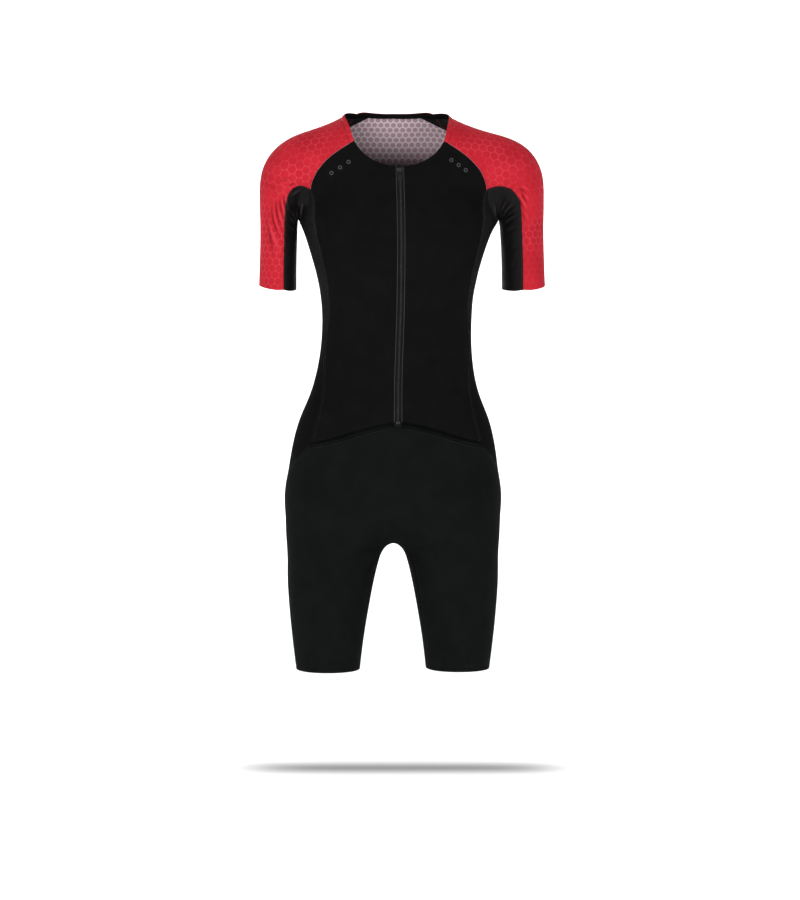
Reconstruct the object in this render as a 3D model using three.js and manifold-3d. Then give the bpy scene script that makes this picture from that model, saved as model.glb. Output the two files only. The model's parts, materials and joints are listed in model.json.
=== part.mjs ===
// Triathlon suit in its worn shape, hollow and empty: short raglan sleeves, a front zip and shorts.
// Millimetres, +Z up, front towards -Y. The wearer's left side is +X.
// The origin lies midway between the two shoulder points beside the neck.

import * as THREE from 'three';
import Module from 'manifold-3d';
import { mergeVertices } from 'three/addons/utils/BufferGeometryUtils.js';

const wasm = await Module();
wasm.setup();

// Cloth and seams
const WALL = 1.5;
const SEAM_GAP = 0.3;
const WELD = 0.01;
const BAND_WIDTH = 8;
const NECKBAND_WIDTH = 7;
const FACING_WALL = 1.1;

// Main heights of the garment
const BACK_NECK = 7;
const FRONT_NECK = -82;
const UNDERARM = -161;
const FRONT_WAIST = -476;
const BACK_WAIST = -505;
const CROTCH = -641;
const LEG_TOP = -575;
const HEM = -855;
const CUFF = -263;
const CUFF_TILT = { outward: 0.1, backward: 0.13 };

// Softness of the joins between body, arms and legs
const SHOULDER_BLEND = 34;
const UNDERARM_BLEND = 7;
const BLEND_TOP = -96;
const BLEND_FOOT = -156;
const CROTCH_BLEND = 40;
const SEAT_BLEND = 70;

// How many strips each seam is divided into
const CELLS = {
  frontWidth: 7,
  sideSeam: 17,
  raglan: 6,
  armhole: 10,
  overSleeve: 12,
  sleeveSeam: 11,
  centreSeam: 8,
  innerLeg: 11,
  gusset: 5,
};

// The body from shoulders to seat, a row for each level section
const TORSO = [
  { height: -5, halfWidth: 70, front: -24, back: 62, power: 2.1 },
  { height: -40, halfWidth: 104, front: -50, back: 84, power: 2.1 },
  { height: -82, halfWidth: 124, front: -72, back: 96, power: 2.2 },
  { height: -120, halfWidth: 138, front: -91, back: 102, power: 2.25 },
  { height: -160, halfWidth: 149, front: -107, back: 105, power: 2.3 },
  { height: -206, halfWidth: 135.5, front: -113, back: 102, power: 2.3 },
  { height: -250, halfWidth: 123, front: -107, back: 94, power: 2.3 },
  { height: -300, halfWidth: 116, front: -96, back: 83, power: 2.3 },
  { height: -335, halfWidth: 115.5, front: -90, back: 78, power: 2.3 },
  { height: -377, halfWidth: 119, front: -88, back: 80, power: 2.3 },
  { height: -423, halfWidth: 129, front: -92, back: 91, power: 2.3 },
  { height: -470, halfWidth: 148, front: -97, back: 106, power: 2.3 },
  { height: -516, halfWidth: 159, front: -98, back: 119, power: 2.3 },
  { height: -563, halfWidth: 164, front: -95, back: 126, power: 2.3 },
  { height: -610, halfWidth: 164.5, front: -89, back: 121, power: 2.3 },
  { height: -660, halfWidth: 166, front: -80, back: 104, power: 2.3 },
];

// One leg, a row for each level section
const LEG = [
  { height: -575, inner: 16, outer: 154, front: -82, back: 110, power: 2.2 },
  { height: -610, inner: 14, outer: 156, front: -78, back: 105, power: 2.2 },
  { height: -650, inner: 13, outer: 164, front: -76, back: 96, power: 2.2 },
  { height: -687, inner: 22, outer: 164, front: -76, back: 88, power: 2.2 },
  { height: -718, inner: 29.5, outer: 164, front: -74, back: 81, power: 2.2 },
  { height: -749, inner: 35.5, outer: 162, front: -71, back: 74, power: 2.2 },
  { height: -811, inner: 46, outer: 156, front: -66, back: 64, power: 2.2 },
  { height: -870, inner: 53, outer: 148.5, front: -62, back: 57, power: 2.2 },
];

// Shoulder, upper arm and sleeve: a rounded tube along a bent middle line
const ARM = [
  { along: 0, x: 56, z: -47, y: 12, radius: 49, depth: 1.35 },
  { along: 1, x: 112, z: -68, y: 6, radius: 50, depth: 1.28 },
  { along: 2, x: 164, z: -88, y: 2, radius: 50, depth: 1.14 },
  { along: 3, x: 182, z: -128, y: 0, radius: 38, depth: 1.27 },
  { along: 4, x: 187, z: -172, y: -2, radius: 32, depth: 1.42 },
  { along: 5, x: 189, z: -225, y: -4, radius: 31, depth: 1.47 },
  { along: 6, x: 190.5, z: -290, y: -6, radius: 32, depth: 1.47 },
];
const ARM_STEPS = 36;
const EVENING_ROUNDS = 24;

// How the worn suit leans sideways, and how far both sleeves stand towards the wearer's left
const SWAY = [
  { height: -300, shift: 0 },
  { height: -345, shift: -1.2 },
  { height: -400, shift: -3 },
  { height: -500, shift: -4.4 },
  { height: -690, shift: -6 },
  { height: -855, shift: -6.6 },
];
const SLEEVE_SHIFT = { amount: 8, from: 130, to: 192, fadeTop: -310, fadeFoot: -360 };

// The largest drag folds, a row for each; x is for the wearer's left and mirrors to the right
const FOLDS = [
  { face: -1, fromX: 154, fromZ: -166, toX: 151, toZ: -128, halfWidth: 8, depth: 2.2 },
  { face: -1, fromX: 163, fromZ: -170, toX: 173, toZ: -130, halfWidth: 8, depth: 1.8 },
  { face: -1, fromX: 92, fromZ: -258, toX: 112, toZ: -292, halfWidth: 11, depth: 1.6 },
  { face: -1, fromX: 84, fromZ: -414, toX: 108, toZ: -432, halfWidth: 11, depth: 1.5 },
  { face: 1, fromX: 150, fromZ: -168, toX: 143, toZ: -126, halfWidth: 9, depth: 2.2 },
  { face: 1, fromX: 62, fromZ: -366, toX: 104, toZ: -378, halfWidth: 12, depth: 1.8 },
];

// Seams drawn on the surface, each a short run of front or back view places
const NECK_FRONT = [
  { x: 5.7, z: FRONT_NECK },
  { x: 22, z: -78.5 },
  { x: 37, z: -73 },
  { x: 50, z: -65 },
  { x: 61, z: -54 },
  { x: 68.5, z: -42 },
];
const RAGLAN_FRONT = [
  { x: 68.5, z: -42 },
  { x: 91, z: -55 },
  { x: 108, z: -68 },
  { x: 120, z: -80 },
  { x: 128, z: -92 },
  { x: 133, z: -104 },
  { x: 135.5, z: -115 },
];
const SIDE_FRONT = [
  { x: 135.5, z: -115 },
  { x: 129, z: -150 },
  { x: 125, z: -191 },
  { x: 118, z: -220 },
  { x: 111, z: -250 },
  { x: 107, z: -285 },
  { x: 108.5, z: -320 },
  { x: 112, z: -350 },
  { x: 111, z: -400 },
  { x: 113, z: -435 },
  { x: 121, z: -470 },
  { x: 132, z: -508 },
];
const WAIST_FRONT = [
  { x: 132, z: -508 },
  { x: 104, z: -502.5 },
  { x: 78, z: -494 },
  { x: 50, z: -485.5 },
  { x: 27, z: -479.5 },
  { x: 5.7, z: FRONT_WAIST },
];
const SLEEVE_SEAM_FRONT = [
  { x: 135.5, z: -115 },
  { x: 144, z: -109.5 },
  { x: 154, z: -108 },
  { x: 166, z: -112 },
  { x: 175, z: -121 },
  { x: 180, z: -138 },
  { x: 181.5, z: -175 },
  { x: 182.5, z: -220 },
  { x: 183, z: -268.5 },
];
const RAGLAN_BACK = [
  { x: 60, z: BACK_NECK - 1 },
  { x: 84, z: -22 },
  { x: 104, z: -46 },
  { x: 118, z: -68 },
  { x: 127, z: -88 },
  { x: 132, z: -108 },
];
const SIDE_BACK = [
  { x: 132, z: -108 },
  { x: 127, z: -150 },
  { x: 122, z: -191 },
  { x: 111, z: -240 },
  { x: 103, z: -290 },
  { x: 103, z: -340 },
  { x: 106, z: -400 },
  { x: 113, z: -450 },
  { x: 123, z: -510 },
  { x: 131, z: -568 },
];
const WAIST_BACK = [
  { x: 131, z: -568 },
  { x: 104, z: -551 },
  { x: 70, z: -529 },
  { x: 36, z: -512 },
  { x: 0, z: BACK_WAIST },
];
const SLEEVE_SEAM_BACK = [
  { x: 132, z: -108 },
  { x: 144, z: -103 },
  { x: 157, z: -105 },
  { x: 169, z: -113 },
  { x: 177, z: -130 },
  { x: 180, z: -165 },
  { x: 181.5, z: -210 },
  { x: 182.5, z: -257 },
];

// Seams whose places are given in all three directions
const NECK_SHOULDER = [
  { x: 74, y: -26, z: -20 },
  { x: 79, y: -2, z: -4 },
  { x: 76, y: 22, z: 2 },
];
const NECK_BACK = [
  { x: 48, y: 46, z: BACK_NECK },
  { x: 34, y: 53, z: BACK_NECK },
  { x: 17, y: 59, z: BACK_NECK },
];
const ARMHOLE = [
  { x: 146, y: -56, z: -134 },
  { x: 151, y: -30, z: UNDERARM },
  { x: 152, y: 0, z: UNDERARM - 4 },
  { x: 150, y: 32, z: UNDERARM },
  { x: 144, y: 60, z: -132 },
];
const WAIST_SIDE = [
  { x: 150, y: -46, z: -522 },
  { x: 162, y: -8, z: -541 },
  { x: 163, y: 30, z: -556 },
  { x: 152, y: 76, z: -566 },
];
const SHORTS_SIDE = [
  { x: 167, y: 8, z: -610 },
  { x: 165, y: 6, z: -700 },
  { x: 160, y: 3, z: -780 },
];
const SHOULDER_LINE = [
  { x: 220, z: -200 },
  { x: 218, z: -138 },
  { x: 214.5, z: -82 },
  { x: 201, z: -54 },
  { x: 172, z: -36 },
  { x: 130, z: -21.5 },
  { x: 100, z: -10 },
];
const ZIP_HEIGHTS = [FRONT_WAIST, -420, -360, -300, -240, -180, -130, FRONT_NECK];
const CENTRE_BACK_HEIGHTS = [BACK_WAIST, -440, -370, -300, -230, -160, -100, -50, -18, BACK_NECK];
const CENTRE_FRONT_SHORTS = [-520, -570, -610, -638];
const CENTRE_BACK_SHORTS = [-550, -590, -620, -640];

// Places of the gusset's two seams, from the crotch out along the inside of a leg
const GUSSET = [
  { height: -655, x: 0, front: -28, back: 34 },
  { height: -665, x: 18, front: -36, back: 40 },
  { height: -684, x: 30, front: -38, back: 42 },
  { height: -718, x: 37, front: -35, back: 40 },
  { height: -760, x: 42, front: -32, back: 36 },
  { height: -811, x: 49, front: -25, back: 29 },
  { height: HEM, x: 52.5, front: -17, back: 22 },
];

// Zip
const ZIP_HALF = 5.7;
const SLIDER = {
  height: -89,
  halfTop: 4.6,
  halfFoot: 2.3,
  length: 11,
  taper: 1.6,
  corner: 1.6,
  plate: 1.8,
  lift: 0.3,
};
const CROWN = { halfWidth: 1.5, halfLength: 3.8, top: 5.2, gapHalf: 2.6, gapLow: 2.1, gapHigh: 4.2 };
const PULL = {
  wire: 0.6,
  halfWidth: 3.2,
  neck: 6.2,
  length: 12.4,
  halfTab: 3.7,
  corner: 1.8,
  thickness: 1.8,
  lean: 0.09,
};
const HINGE = { along: -1.5, out: 3.15 };
const STOP = { height: -469.5, width: 6, length: 4, thickness: 1.4 };

// Colours as sRGB hex
const COLOURS = {
  red: 0xdc3543,
  black: 0x181818,
  heather: 0x2f3134,
  band: 0x1b1e24,
  tape: 0x242426,
  metal: 0x3a3b3f,
};

// A smooth curve through the rows of a table: value of one column at a place along another
function smoothColumn(rows, placeName, valueName) {
  const sorted = [...rows].sort((a, b) => a[placeName] - b[placeName]);
  const places = sorted.map((row) => row[placeName]);
  const values = sorted.map((row) => row[valueName]);
  const slopes = places.map((place, i) => {
    if (i === 0 || i === places.length - 1) return 0;
    const before = (values[i] - values[i - 1]) / (places[i] - places[i - 1]);
    const after = (values[i + 1] - values[i]) / (places[i + 1] - places[i]);
    return (before * (places[i + 1] - places[i]) + after * (places[i] - places[i - 1]))
      / (places[i + 1] - places[i - 1]);
  });
  slopes[0] = (values[1] - values[0]) / (places[1] - places[0]);
  const last = places.length - 1;
  slopes[last] = (values[last] - values[last - 1]) / (places[last] - places[last - 1]);
  return (place) => {
    if (place <= places[0]) return values[0];
    if (place >= places[last]) return values[last];
    let i = 0;
    while (place > places[i + 1]) i += 1;
    const span = places[i + 1] - places[i];
    const t = (place - places[i]) / span;
    const t2 = t * t;
    const t3 = t2 * t;
    return values[i] * (2 * t3 - 3 * t2 + 1) + slopes[i] * span * (t3 - 2 * t2 + t)
      + values[i + 1] * (3 * t2 - 2 * t3) + slopes[i + 1] * span * (t3 - t2);
  };
}

function columnsOf(rows, placeName, names) {
  return Object.fromEntries(names.map((name) => [name, smoothColumn(rows, placeName, name)]));
}

const torsoAt = columnsOf(TORSO, 'height', ['halfWidth', 'front', 'back', 'power']);
const legAt = columnsOf(LEG, 'height', ['inner', 'outer', 'front', 'back', 'power']);
const armAt = columnsOf(ARM, 'along', ['x', 'y', 'z', 'radius', 'depth']);

const ARM_LINE = Array.from({ length: ARM_STEPS + 1 }, (_, i) => {
  const along = (i / ARM_STEPS) * (ARM.length - 1);
  return {
    x: armAt.x(along),
    y: armAt.y(along),
    z: armAt.z(along),
    radius: armAt.radius(along),
    depth: armAt.depth(along),
  };
});

// Signed distance, near enough, from a rounded section: minus inside, plus outside
function sectionDistance(dx, dy, halfWidth, halfDepth, power) {
  const reach = Math.hypot(dx, dy);
  if (reach < 1e-6) return -Math.min(halfWidth, halfDepth);
  const ratio = (Math.abs(dx / halfWidth) ** power + Math.abs(dy / halfDepth) ** power) ** (1 / power);
  return reach - reach / ratio;
}

function smoothUnion(a, b, softness) {
  const h = Math.max(softness - Math.abs(a - b), 0) / softness;
  return Math.min(a, b) - (h * h * softness) / 4;
}

function torsoDistance(x, y, z) {
  const front = torsoAt.front(z);
  const back = torsoAt.back(z);
  const middle = (front + back) / 2;
  const section = sectionDistance(
    x, y - middle, torsoAt.halfWidth(z), (back - front) / 2, torsoAt.power(z));
  const underSeat = -smoothUnion(-section, z - CROTCH, SEAT_BLEND);
  return underSeat;
}

function legDistance(x, y, z) {
  const inner = legAt.inner(z);
  const outer = legAt.outer(z);
  const front = legAt.front(z);
  const back = legAt.back(z);
  const section = sectionDistance(
    x - (inner + outer) / 2, y - (front + back) / 2,
    (outer - inner) / 2, (back - front) / 2, legAt.power(z));
  return -smoothUnion(-section, LEG_TOP - z, CROTCH_BLEND);
}

function armDistance(x, y, z) {
  let best = Infinity;
  let found = null;
  for (let i = 0; i < ARM_STEPS; i += 1) {
    const a = ARM_LINE[i];
    const b = ARM_LINE[i + 1];
    const ex = b.x - a.x;
    const ez = b.z - a.z;
    const raw = ((x - a.x) * ex + (z - a.z) * ez) / (ex * ex + ez * ez);
    const t = Math.min(Math.max(raw, 0), 1);
    const off = Math.hypot(x - a.x - t * ex, z - a.z - t * ez);
    const score = off - (a.radius + t * (b.radius - a.radius));
    if (score < best) {
      best = score;
      found = { a, b, t, off };
    }
  }
  const { a, b, t, off } = found;
  const radius = a.radius + t * (b.radius - a.radius);
  const depth = a.depth + t * (b.depth - a.depth);
  const middle = a.y + t * (b.y - a.y);
  return sectionDistance(off, y - middle, radius, radius * depth, 2);
}

function easeBetween(from, to, value) {
  const t = Math.min(Math.max((value - from) / (to - from), 0), 1);
  return t * t * (3 - 2 * t);
}

// How far the drag folds push the cloth in at a place
function foldDepth(x, y, z) {
  let total = 0;
  for (const fold of FOLDS) {
    if (fold.face * (y + 5) <= 0) continue;
    const ex = fold.toX - fold.fromX;
    const ez = fold.toZ - fold.fromZ;
    const raw = ((Math.abs(x) - fold.fromX) * ex + (z - fold.fromZ) * ez) / (ex * ex + ez * ez);
    const t = Math.min(Math.max(raw, 0), 1);
    const off = Math.hypot(Math.abs(x) - fold.fromX - t * ex, z - fold.fromZ - t * ez);
    total += fold.depth * Math.exp(-((off / fold.halfWidth) ** 2));
  }
  return total;
}

function garmentDistance(point) {
  const { x, y, z } = point;
  const side = Math.abs(x);
  const tightness = easeBetween(BLEND_TOP, BLEND_FOOT, z);
  const softness = SHOULDER_BLEND + tightness * (UNDERARM_BLEND - SHOULDER_BLEND);
  const body = smoothUnion(torsoDistance(side, y, z), armDistance(side, y, z), softness);
  if (z > LEG_TOP + 2 * CROTCH_BLEND) return body + foldDepth(x, y, z);
  const legs = smoothUnion(legDistance(side, y, z), legDistance(-side, y, z), CROTCH_BLEND);
  return smoothUnion(body, legs, CROTCH_BLEND) + foldDepth(x, y, z);
}

function outward(point) {
  const step = 0.5;
  const slope = (axis) => {
    const plus = point.clone();
    const minus = point.clone();
    plus[axis] += step;
    minus[axis] -= step;
    return (garmentDistance(plus) - garmentDistance(minus)) / (2 * step);
  };
  return new THREE.Vector3(slope('x'), slope('y'), slope('z'));
}

const swayAt = smoothColumn(SWAY, 'height', 'shift');

// A point of the even form, moved to where the worn suit holds it
function worn(point) {
  const reach = easeBetween(SLEEVE_SHIFT.from, SLEEVE_SHIFT.to, Math.abs(point.x));
  const upper = easeBetween(SLEEVE_SHIFT.fadeFoot, SLEEVE_SHIFT.fadeTop, point.z);
  const moved = point.clone();
  moved.x += swayAt(point.z) + SLEEVE_SHIFT.amount * reach * upper;
  return moved;
}

const FLATTEST_SLOPE = 0.05;
const SIGHT_START = 220;
const SIGHT_END = 8;
const SIGHT_HALVINGS = 40;

// Moves a point square to the surface until it lies on it
function settle(point, steps = 8) {
  const settled = point.clone();
  for (let i = 0; i < steps; i += 1) {
    const slope = outward(settled);
    settled.addScaledVector(slope, -garmentDistance(settled) / Math.max(slope.lengthSq(), FLATTEST_SLOPE));
  }
  return settled;
}

// The place where a level line of sight meets the cloth; face -1 looks at the front, 1 at the back
function seenPoint(x, z, face) {
  let outside = face * SIGHT_START;
  let inside = SIGHT_END;
  for (let i = 0; i < SIGHT_HALVINGS; i += 1) {
    const middle = (outside + inside) / 2;
    if (garmentDistance({ x, y: middle, z }) > 0) outside = middle;
    else inside = middle;
  }
  return settle(new THREE.Vector3(x, (outside + inside) / 2, z));
}

function seenRun(rows, face) {
  return rows.map((row) => seenPoint(row.x, row.z, face));
}

// A seam through points, divided into cells by fractions of its length, and laid on the surface
function seamByFractions(points, fractions, lay = settle) {
  const curve = new THREE.CatmullRomCurve3(points, false, 'centripetal');
  curve.arcLengthDivisions = 400;
  return fractions.map((fraction, i) => {
    if (i === 0) return points[0].clone();
    if (i === fractions.length - 1) return lastOf(points).clone();
    return lay(curve.getPointAt(fraction));
  });
}

function evenFractions(cells) {
  return Array.from({ length: cells + 1 }, (_, i) => i / cells);
}

function seam(points, cells) {
  return seamByFractions(points, evenFractions(cells));
}

// Even cells, with a narrow one of a set width at the start, the end or both
function seamWithBands(points, cells, startWidth, endWidth) {
  const length = new THREE.CatmullRomCurve3(points, false, 'centripetal').getLength();
  const start = startWidth / length;
  const end = 1 - endWidth / length;
  const fractions = evenFractions(cells).map((f) => start + f * (end - start));
  if (startWidth > 0) fractions.unshift(0);
  if (endWidth > 0) fractions.push(1);
  return seamByFractions(points, fractions);
}

function joinRuns(...runs) {
  return runs.reduce((whole, run) => (whole.length ? [...whole, ...run.slice(1)] : [...run]), []);
}

function reversed(run) {
  return [...run].reverse();
}

function lastOf(run) {
  return run[run.length - 1];
}

function onSurface(x, y, z) {
  return settle(new THREE.Vector3(x, y, z));
}

// A point laid on the surface but kept at its own height, for hems
function atHeight(x, y, z) {
  const point = new THREE.Vector3(x, y, z);
  for (let i = 0; i < 12; i += 1) {
    const slope = outward(point);
    slope.z = 0;
    point.addScaledVector(slope, -garmentDistance(point) / Math.max(slope.lengthSq(), FLATTEST_SLOPE));
  }
  return point;
}

// A point of the front moved to the centre line at its own height
function atCentre(point) {
  return seenPoint(0, point.z, -1);
}

// A patch of points blended between four seams: rows run from bottom to top
function blendedPatch(bottom, top, left, right) {
  const columns = bottom.length - 1;
  const rows = left.length - 1;
  return left.map((_, r) => bottom.map((__, c) => {
    if (r === 0) return bottom[c].clone();
    if (r === rows) return top[c].clone();
    if (c === 0) return left[r].clone();
    if (c === columns) return right[r].clone();
    const u = c / columns;
    const v = r / rows;
    return new THREE.Vector3()
      .addScaledVector(bottom[c], 1 - v)
      .addScaledVector(top[c], v)
      .addScaledVector(left[r], 1 - u)
      .addScaledVector(right[r], u)
      .addScaledVector(bottom[0], -(1 - u) * (1 - v))
      .addScaledVector(bottom[columns], -u * (1 - v))
      .addScaledVector(top[0], -(1 - u) * v)
      .addScaledVector(top[columns], -u * v);
  }));
}

// The row that lies a band's width inside an edge, between its two known ends
function bandRow(edge, ends, width) {
  return edge.map((p, c) => {
    if (c === 0) return ends[0].clone();
    if (c === edge.length - 1) return ends[1].clone();
    const along = edge[c + 1].clone().sub(edge[c - 1]);
    const inward = outward(p).cross(along).normalize();
    const middle = ends[0].clone().add(ends[1]).sub(edge[0]).sub(lastOf(edge));
    if (inward.dot(middle) < 0) inward.negate();
    return settle(p.clone().addScaledVector(inward, width));
  });
}

// A patch evened out and laid on the surface. A guide is a run down its middle column, and a
// band's width keeps the first or the last row that far inside its edge.
function panelGrid(bottom, top, left, right, { guide = null, footBand = 0, topBand = 0 } = {}) {
  const half = (bottom.length - 1) / 2;
  const grid = guide === null
    ? blendedPatch(bottom, top, left, right)
    : blendedPatch(bottom.slice(0, half + 1), top.slice(0, half + 1), left, guide).map((row, r) => [
      ...row,
      ...blendedPatch(bottom.slice(half), top.slice(half), guide, right)[r].slice(1),
    ]);
  const last = grid.length - 1;
  if (footBand > 0) grid[1] = bandRow(bottom, [left[1], right[1]], footBand);
  if (topBand > 0) grid[last - 1] = bandRow(top, [left[last - 1], right[last - 1]], topBand);
  const firstFree = footBand > 0 ? 2 : 1;
  const lastFree = topBand > 0 ? last - 2 : last - 1;
  for (let round = 0; round < EVENING_ROUNDS; round += 1) {
    const pull = round < EVENING_ROUNDS / 2 ? 0.5 : 0.15;
    for (let r = firstFree; r <= lastFree; r += 1) {
      for (let c = 1; c < bottom.length - 1; c += 1) {
        const average = new THREE.Vector3()
          .add(grid[r - 1][c])
          .add(grid[r + 1][c])
          .add(grid[r][c - 1])
          .add(grid[r][c + 1])
          .multiplyScalar(0.25);
        grid[r][c] = settle(grid[r][c].lerp(average, pull), 2);
      }
    }
  }
  return grid.map((row, r) => row.map((p, c) => {
    const free = r >= firstFree && r <= lastFree && c > 0 && c < row.length - 1;
    return free ? settle(p) : p;
  }));
}

function mirroredGrid(grid) {
  return grid.map((row) => [...row].reverse().map((p) => new THREE.Vector3(-p.x, p.y, p.z)));
}

// The grid with its columns read so that its face points away from the body
function facingOut(grid) {
  const r = Math.floor(grid.length / 2) - 1;
  const c = Math.floor(grid[0].length / 2) - 1;
  const across = grid[r][c + 1].clone().sub(grid[r][c]);
  const up = grid[r + 1][c].clone().sub(grid[r][c]);
  if (across.cross(up).dot(outward(grid[r][c])) > 0) return grid;
  return grid.map((row) => [...row].reverse());
}

// Grids that share edge points, welded into one sheet of points and four-sided cells
function sheetOf(grids) {
  const points = [];
  const known = new Map();
  const numberOf = (p) => {
    const key = [p.x, p.y, p.z].map((value) => Math.round(value / WELD)).join(' ');
    if (!known.has(key)) {
      known.set(key, points.length);
      points.push(p);
    }
    return known.get(key);
  };
  const cells = [];
  for (const grid of grids.map(facingOut)) {
    for (let r = 0; r < grid.length - 1; r += 1) {
      for (let c = 0; c < grid[0].length - 1; c += 1) {
        cells.push([grid[r][c], grid[r][c + 1], grid[r + 1][c + 1], grid[r + 1][c]].map(numberOf));
      }
    }
  }
  return { points, cells, rim: rimOf(cells) };
}

// Cell edges with no neighbour, as the point that follows each rim point with the cloth on its left
function rimOf(cells) {
  const edges = new Map();
  for (const cell of cells) {
    cell.forEach((from, i) => edges.set(`${from} ${cell[(i + 1) % 4]}`, [from, cell[(i + 1) % 4]]));
  }
  const open = [...edges.values()].filter(([from, to]) => !edges.has(`${to} ${from}`));
  return new Map(open);
}

const SHARPEST_CORNER = 0.35;

// Draws the rim of a sheet in by half the seam gap, square to each edge
function drawnIn({ points, rim }, normals, inset) {
  const moved = points.map((p) => p.clone());
  const before = new Map([...rim].map(([from, to]) => [to, from]));
  for (const [here, next] of rim) {
    const inwardFrom = (a, b) => normals[here].clone().cross(b.clone().sub(a)).normalize();
    const first = inwardFrom(points[before.get(here)], points[here]);
    const second = inwardFrom(points[here], points[next]);
    const share = inset / Math.max(1 + first.dot(second), SHARPEST_CORNER);
    moved[here].addScaledVector(first.add(second), share);
  }
  return moved;
}

// A closed wall over welded grids: its outer face lies `lift` above the surface
function wallGeometry(grids, { lift = 0, wall = WALL, inset = SEAM_GAP / 2 } = {}) {
  const sheet = sheetOf(grids);
  const normals = sheet.points.map((p) => outward(p).normalize());
  const base = drawnIn(sheet, normals, inset);
  const outer = base.map((p, i) => p.clone().addScaledVector(normals[i], lift));
  const inner = base.map((p, i) => p.clone().addScaledVector(normals[i], lift - wall));
  const under = base.length;
  const triangles = [];
  for (const [a, b, c, d] of sheet.cells) {
    const rising = base[a].distanceTo(base[c]) <= base[b].distanceTo(base[d]);
    const halves = rising ? [[a, b, c], [a, c, d]] : [[b, c, d], [b, d, a]];
    for (const [i, j, k] of halves) triangles.push(i, j, k, under + k, under + j, under + i);
  }
  for (const [from, to] of sheet.rim) {
    triangles.push(under + from, under + to, to, under + from, to, from);
  }
  const geometry = new THREE.BufferGeometry().setFromPoints([...outer, ...inner].map(worn));
  geometry.setIndex(triangles);
  geometry.computeVertexNormals();
  return geometry;
}

const suit = new THREE.Group();

function namedMesh(name, geometry, colour, roughness = 0.85, metalness = 0) {
  const material = new THREE.MeshStandardMaterial({ color: colour, roughness, metalness });
  const mesh = new THREE.Mesh(geometry, material);
  mesh.name = name;
  return mesh;
}

// A piece on the wearer's left and its mirror image on the right
function addPair(name, grid, colour) {
  suit.add(namedMesh(`${name}_left`, wallGeometry([grid]), colour));
  suit.add(namedMesh(`${name}_right`, wallGeometry([mirroredGrid(grid)]), colour));
}

// One piece across the centre line, from its left half
function addWhole(name, halfGrid, colour, options) {
  suit.add(namedMesh(name, wallGeometry([halfGrid, mirroredGrid(halfGrid)], options), colour));
}

// Seams of the upper part, on the wearer's left half
const neckFront = seam(seenRun(NECK_FRONT, -1), CELLS.frontWidth);
const raglanFront = seamWithBands(seenRun(RAGLAN_FRONT, -1), CELLS.raglan, NECKBAND_WIDTH, 0);
const sideFront = seamWithBands(seenRun(SIDE_FRONT, -1), CELLS.sideSeam, 0, BAND_WIDTH);
const waistFront = seam(seenRun(WAIST_FRONT, -1), CELLS.frontWidth);
const sleeveSeamFront = seam(seenRun(SLEEVE_SEAM_FRONT, -1), CELLS.sleeveSeam);
const raglanBack = seamWithBands(seenRun(RAGLAN_BACK, 1), CELLS.raglan, NECKBAND_WIDTH, 0);
const sideBack = seamWithBands(seenRun(SIDE_BACK, 1), CELLS.sideSeam, 0, BAND_WIDTH);
const waistBack = seam(seenRun(WAIST_BACK, 1), CELLS.frontWidth);
const sleeveSeamBack = seam(seenRun(SLEEVE_SEAM_BACK, 1), CELLS.sleeveSeam);

// An upright run on the front or back, with the rows of the panel beside it
function uprightRun(x, heights, face) {
  const points = heights.map((z) => seenPoint(x, z, face));
  return seamWithBands(points, CELLS.sideSeam + CELLS.raglan, BAND_WIDTH, NECKBAND_WIDTH);
}

const zipEdge = uprightRun(ZIP_HALF, ZIP_HEIGHTS, -1);
const centreBack = uprightRun(0, CENTRE_BACK_HEIGHTS, 1);
const neckBack = seam([
  raglanBack[0],
  ...NECK_BACK.map(({ x, y, z }) => onSurface(x, y, z)),
  centreBack[centreBack.length - 1],
], CELLS.frontWidth);
const neckOverShoulder = seam([
  raglanFront[0],
  ...NECK_SHOULDER.map(({ x, y, z }) => onSurface(x, y, z)),
  raglanBack[0],
], CELLS.overSleeve);
const armhole = seam([
  sleeveSeamFront[0],
  ...ARMHOLE.map(({ x, y, z }) => onSurface(x, y, z)),
  sleeveSeamBack[0],
], CELLS.armhole);
const waistSide = seam([
  waistFront[0],
  ...WAIST_SIDE.map(({ x, y, z }) => onSurface(x, y, z)),
  waistBack[0],
], CELLS.armhole);

const ROUND_STEPS = 10;

// A level or tilted edge round a tube, from one point to another by the given turn
function edgeRound(from, to, centre, spread, turn, heightAt, cells) {
  const angleOf = (p) => Math.atan2((p.y - centre.y) / spread.y, (p.x - centre.x) / spread.x);
  const lay = (p) => atHeight(p.x, p.y, heightAt(p));
  const start = angleOf(from);
  let sweep = angleOf(to) - start;
  while (turn > 0 && sweep < 0) sweep += 2 * Math.PI;
  while (turn < 0 && sweep > 0) sweep -= 2 * Math.PI;
  const points = Array.from({ length: ROUND_STEPS + 1 }, (_, i) => {
    const angle = start + (sweep * i) / ROUND_STEPS;
    return lay(new THREE.Vector3(
      centre.x + spread.x * Math.cos(angle), centre.y + spread.y * Math.sin(angle), 0));
  });
  points[0] = from;
  points[ROUND_STEPS] = to;
  return seamByFractions(points, evenFractions(cells), lay);
}

const armEnd = ARM[ARM.length - 1];
const armSpread = { x: armEnd.radius, y: armEnd.radius * armEnd.depth };
const cuffHeight = (p) => CUFF + CUFF_TILT.backward * p.y + CUFF_TILT.outward * (p.x - armEnd.x);
const cuffFront = lastOf(sleeveSeamFront);
const cuffBack = lastOf(sleeveSeamBack);
const cuffOuter = edgeRound(cuffFront, cuffBack, armEnd, armSpread, 1, cuffHeight, CELLS.overSleeve);
const cuffInner = edgeRound(cuffFront, cuffBack, armEnd, armSpread, -1, cuffHeight, CELLS.armhole);

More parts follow.
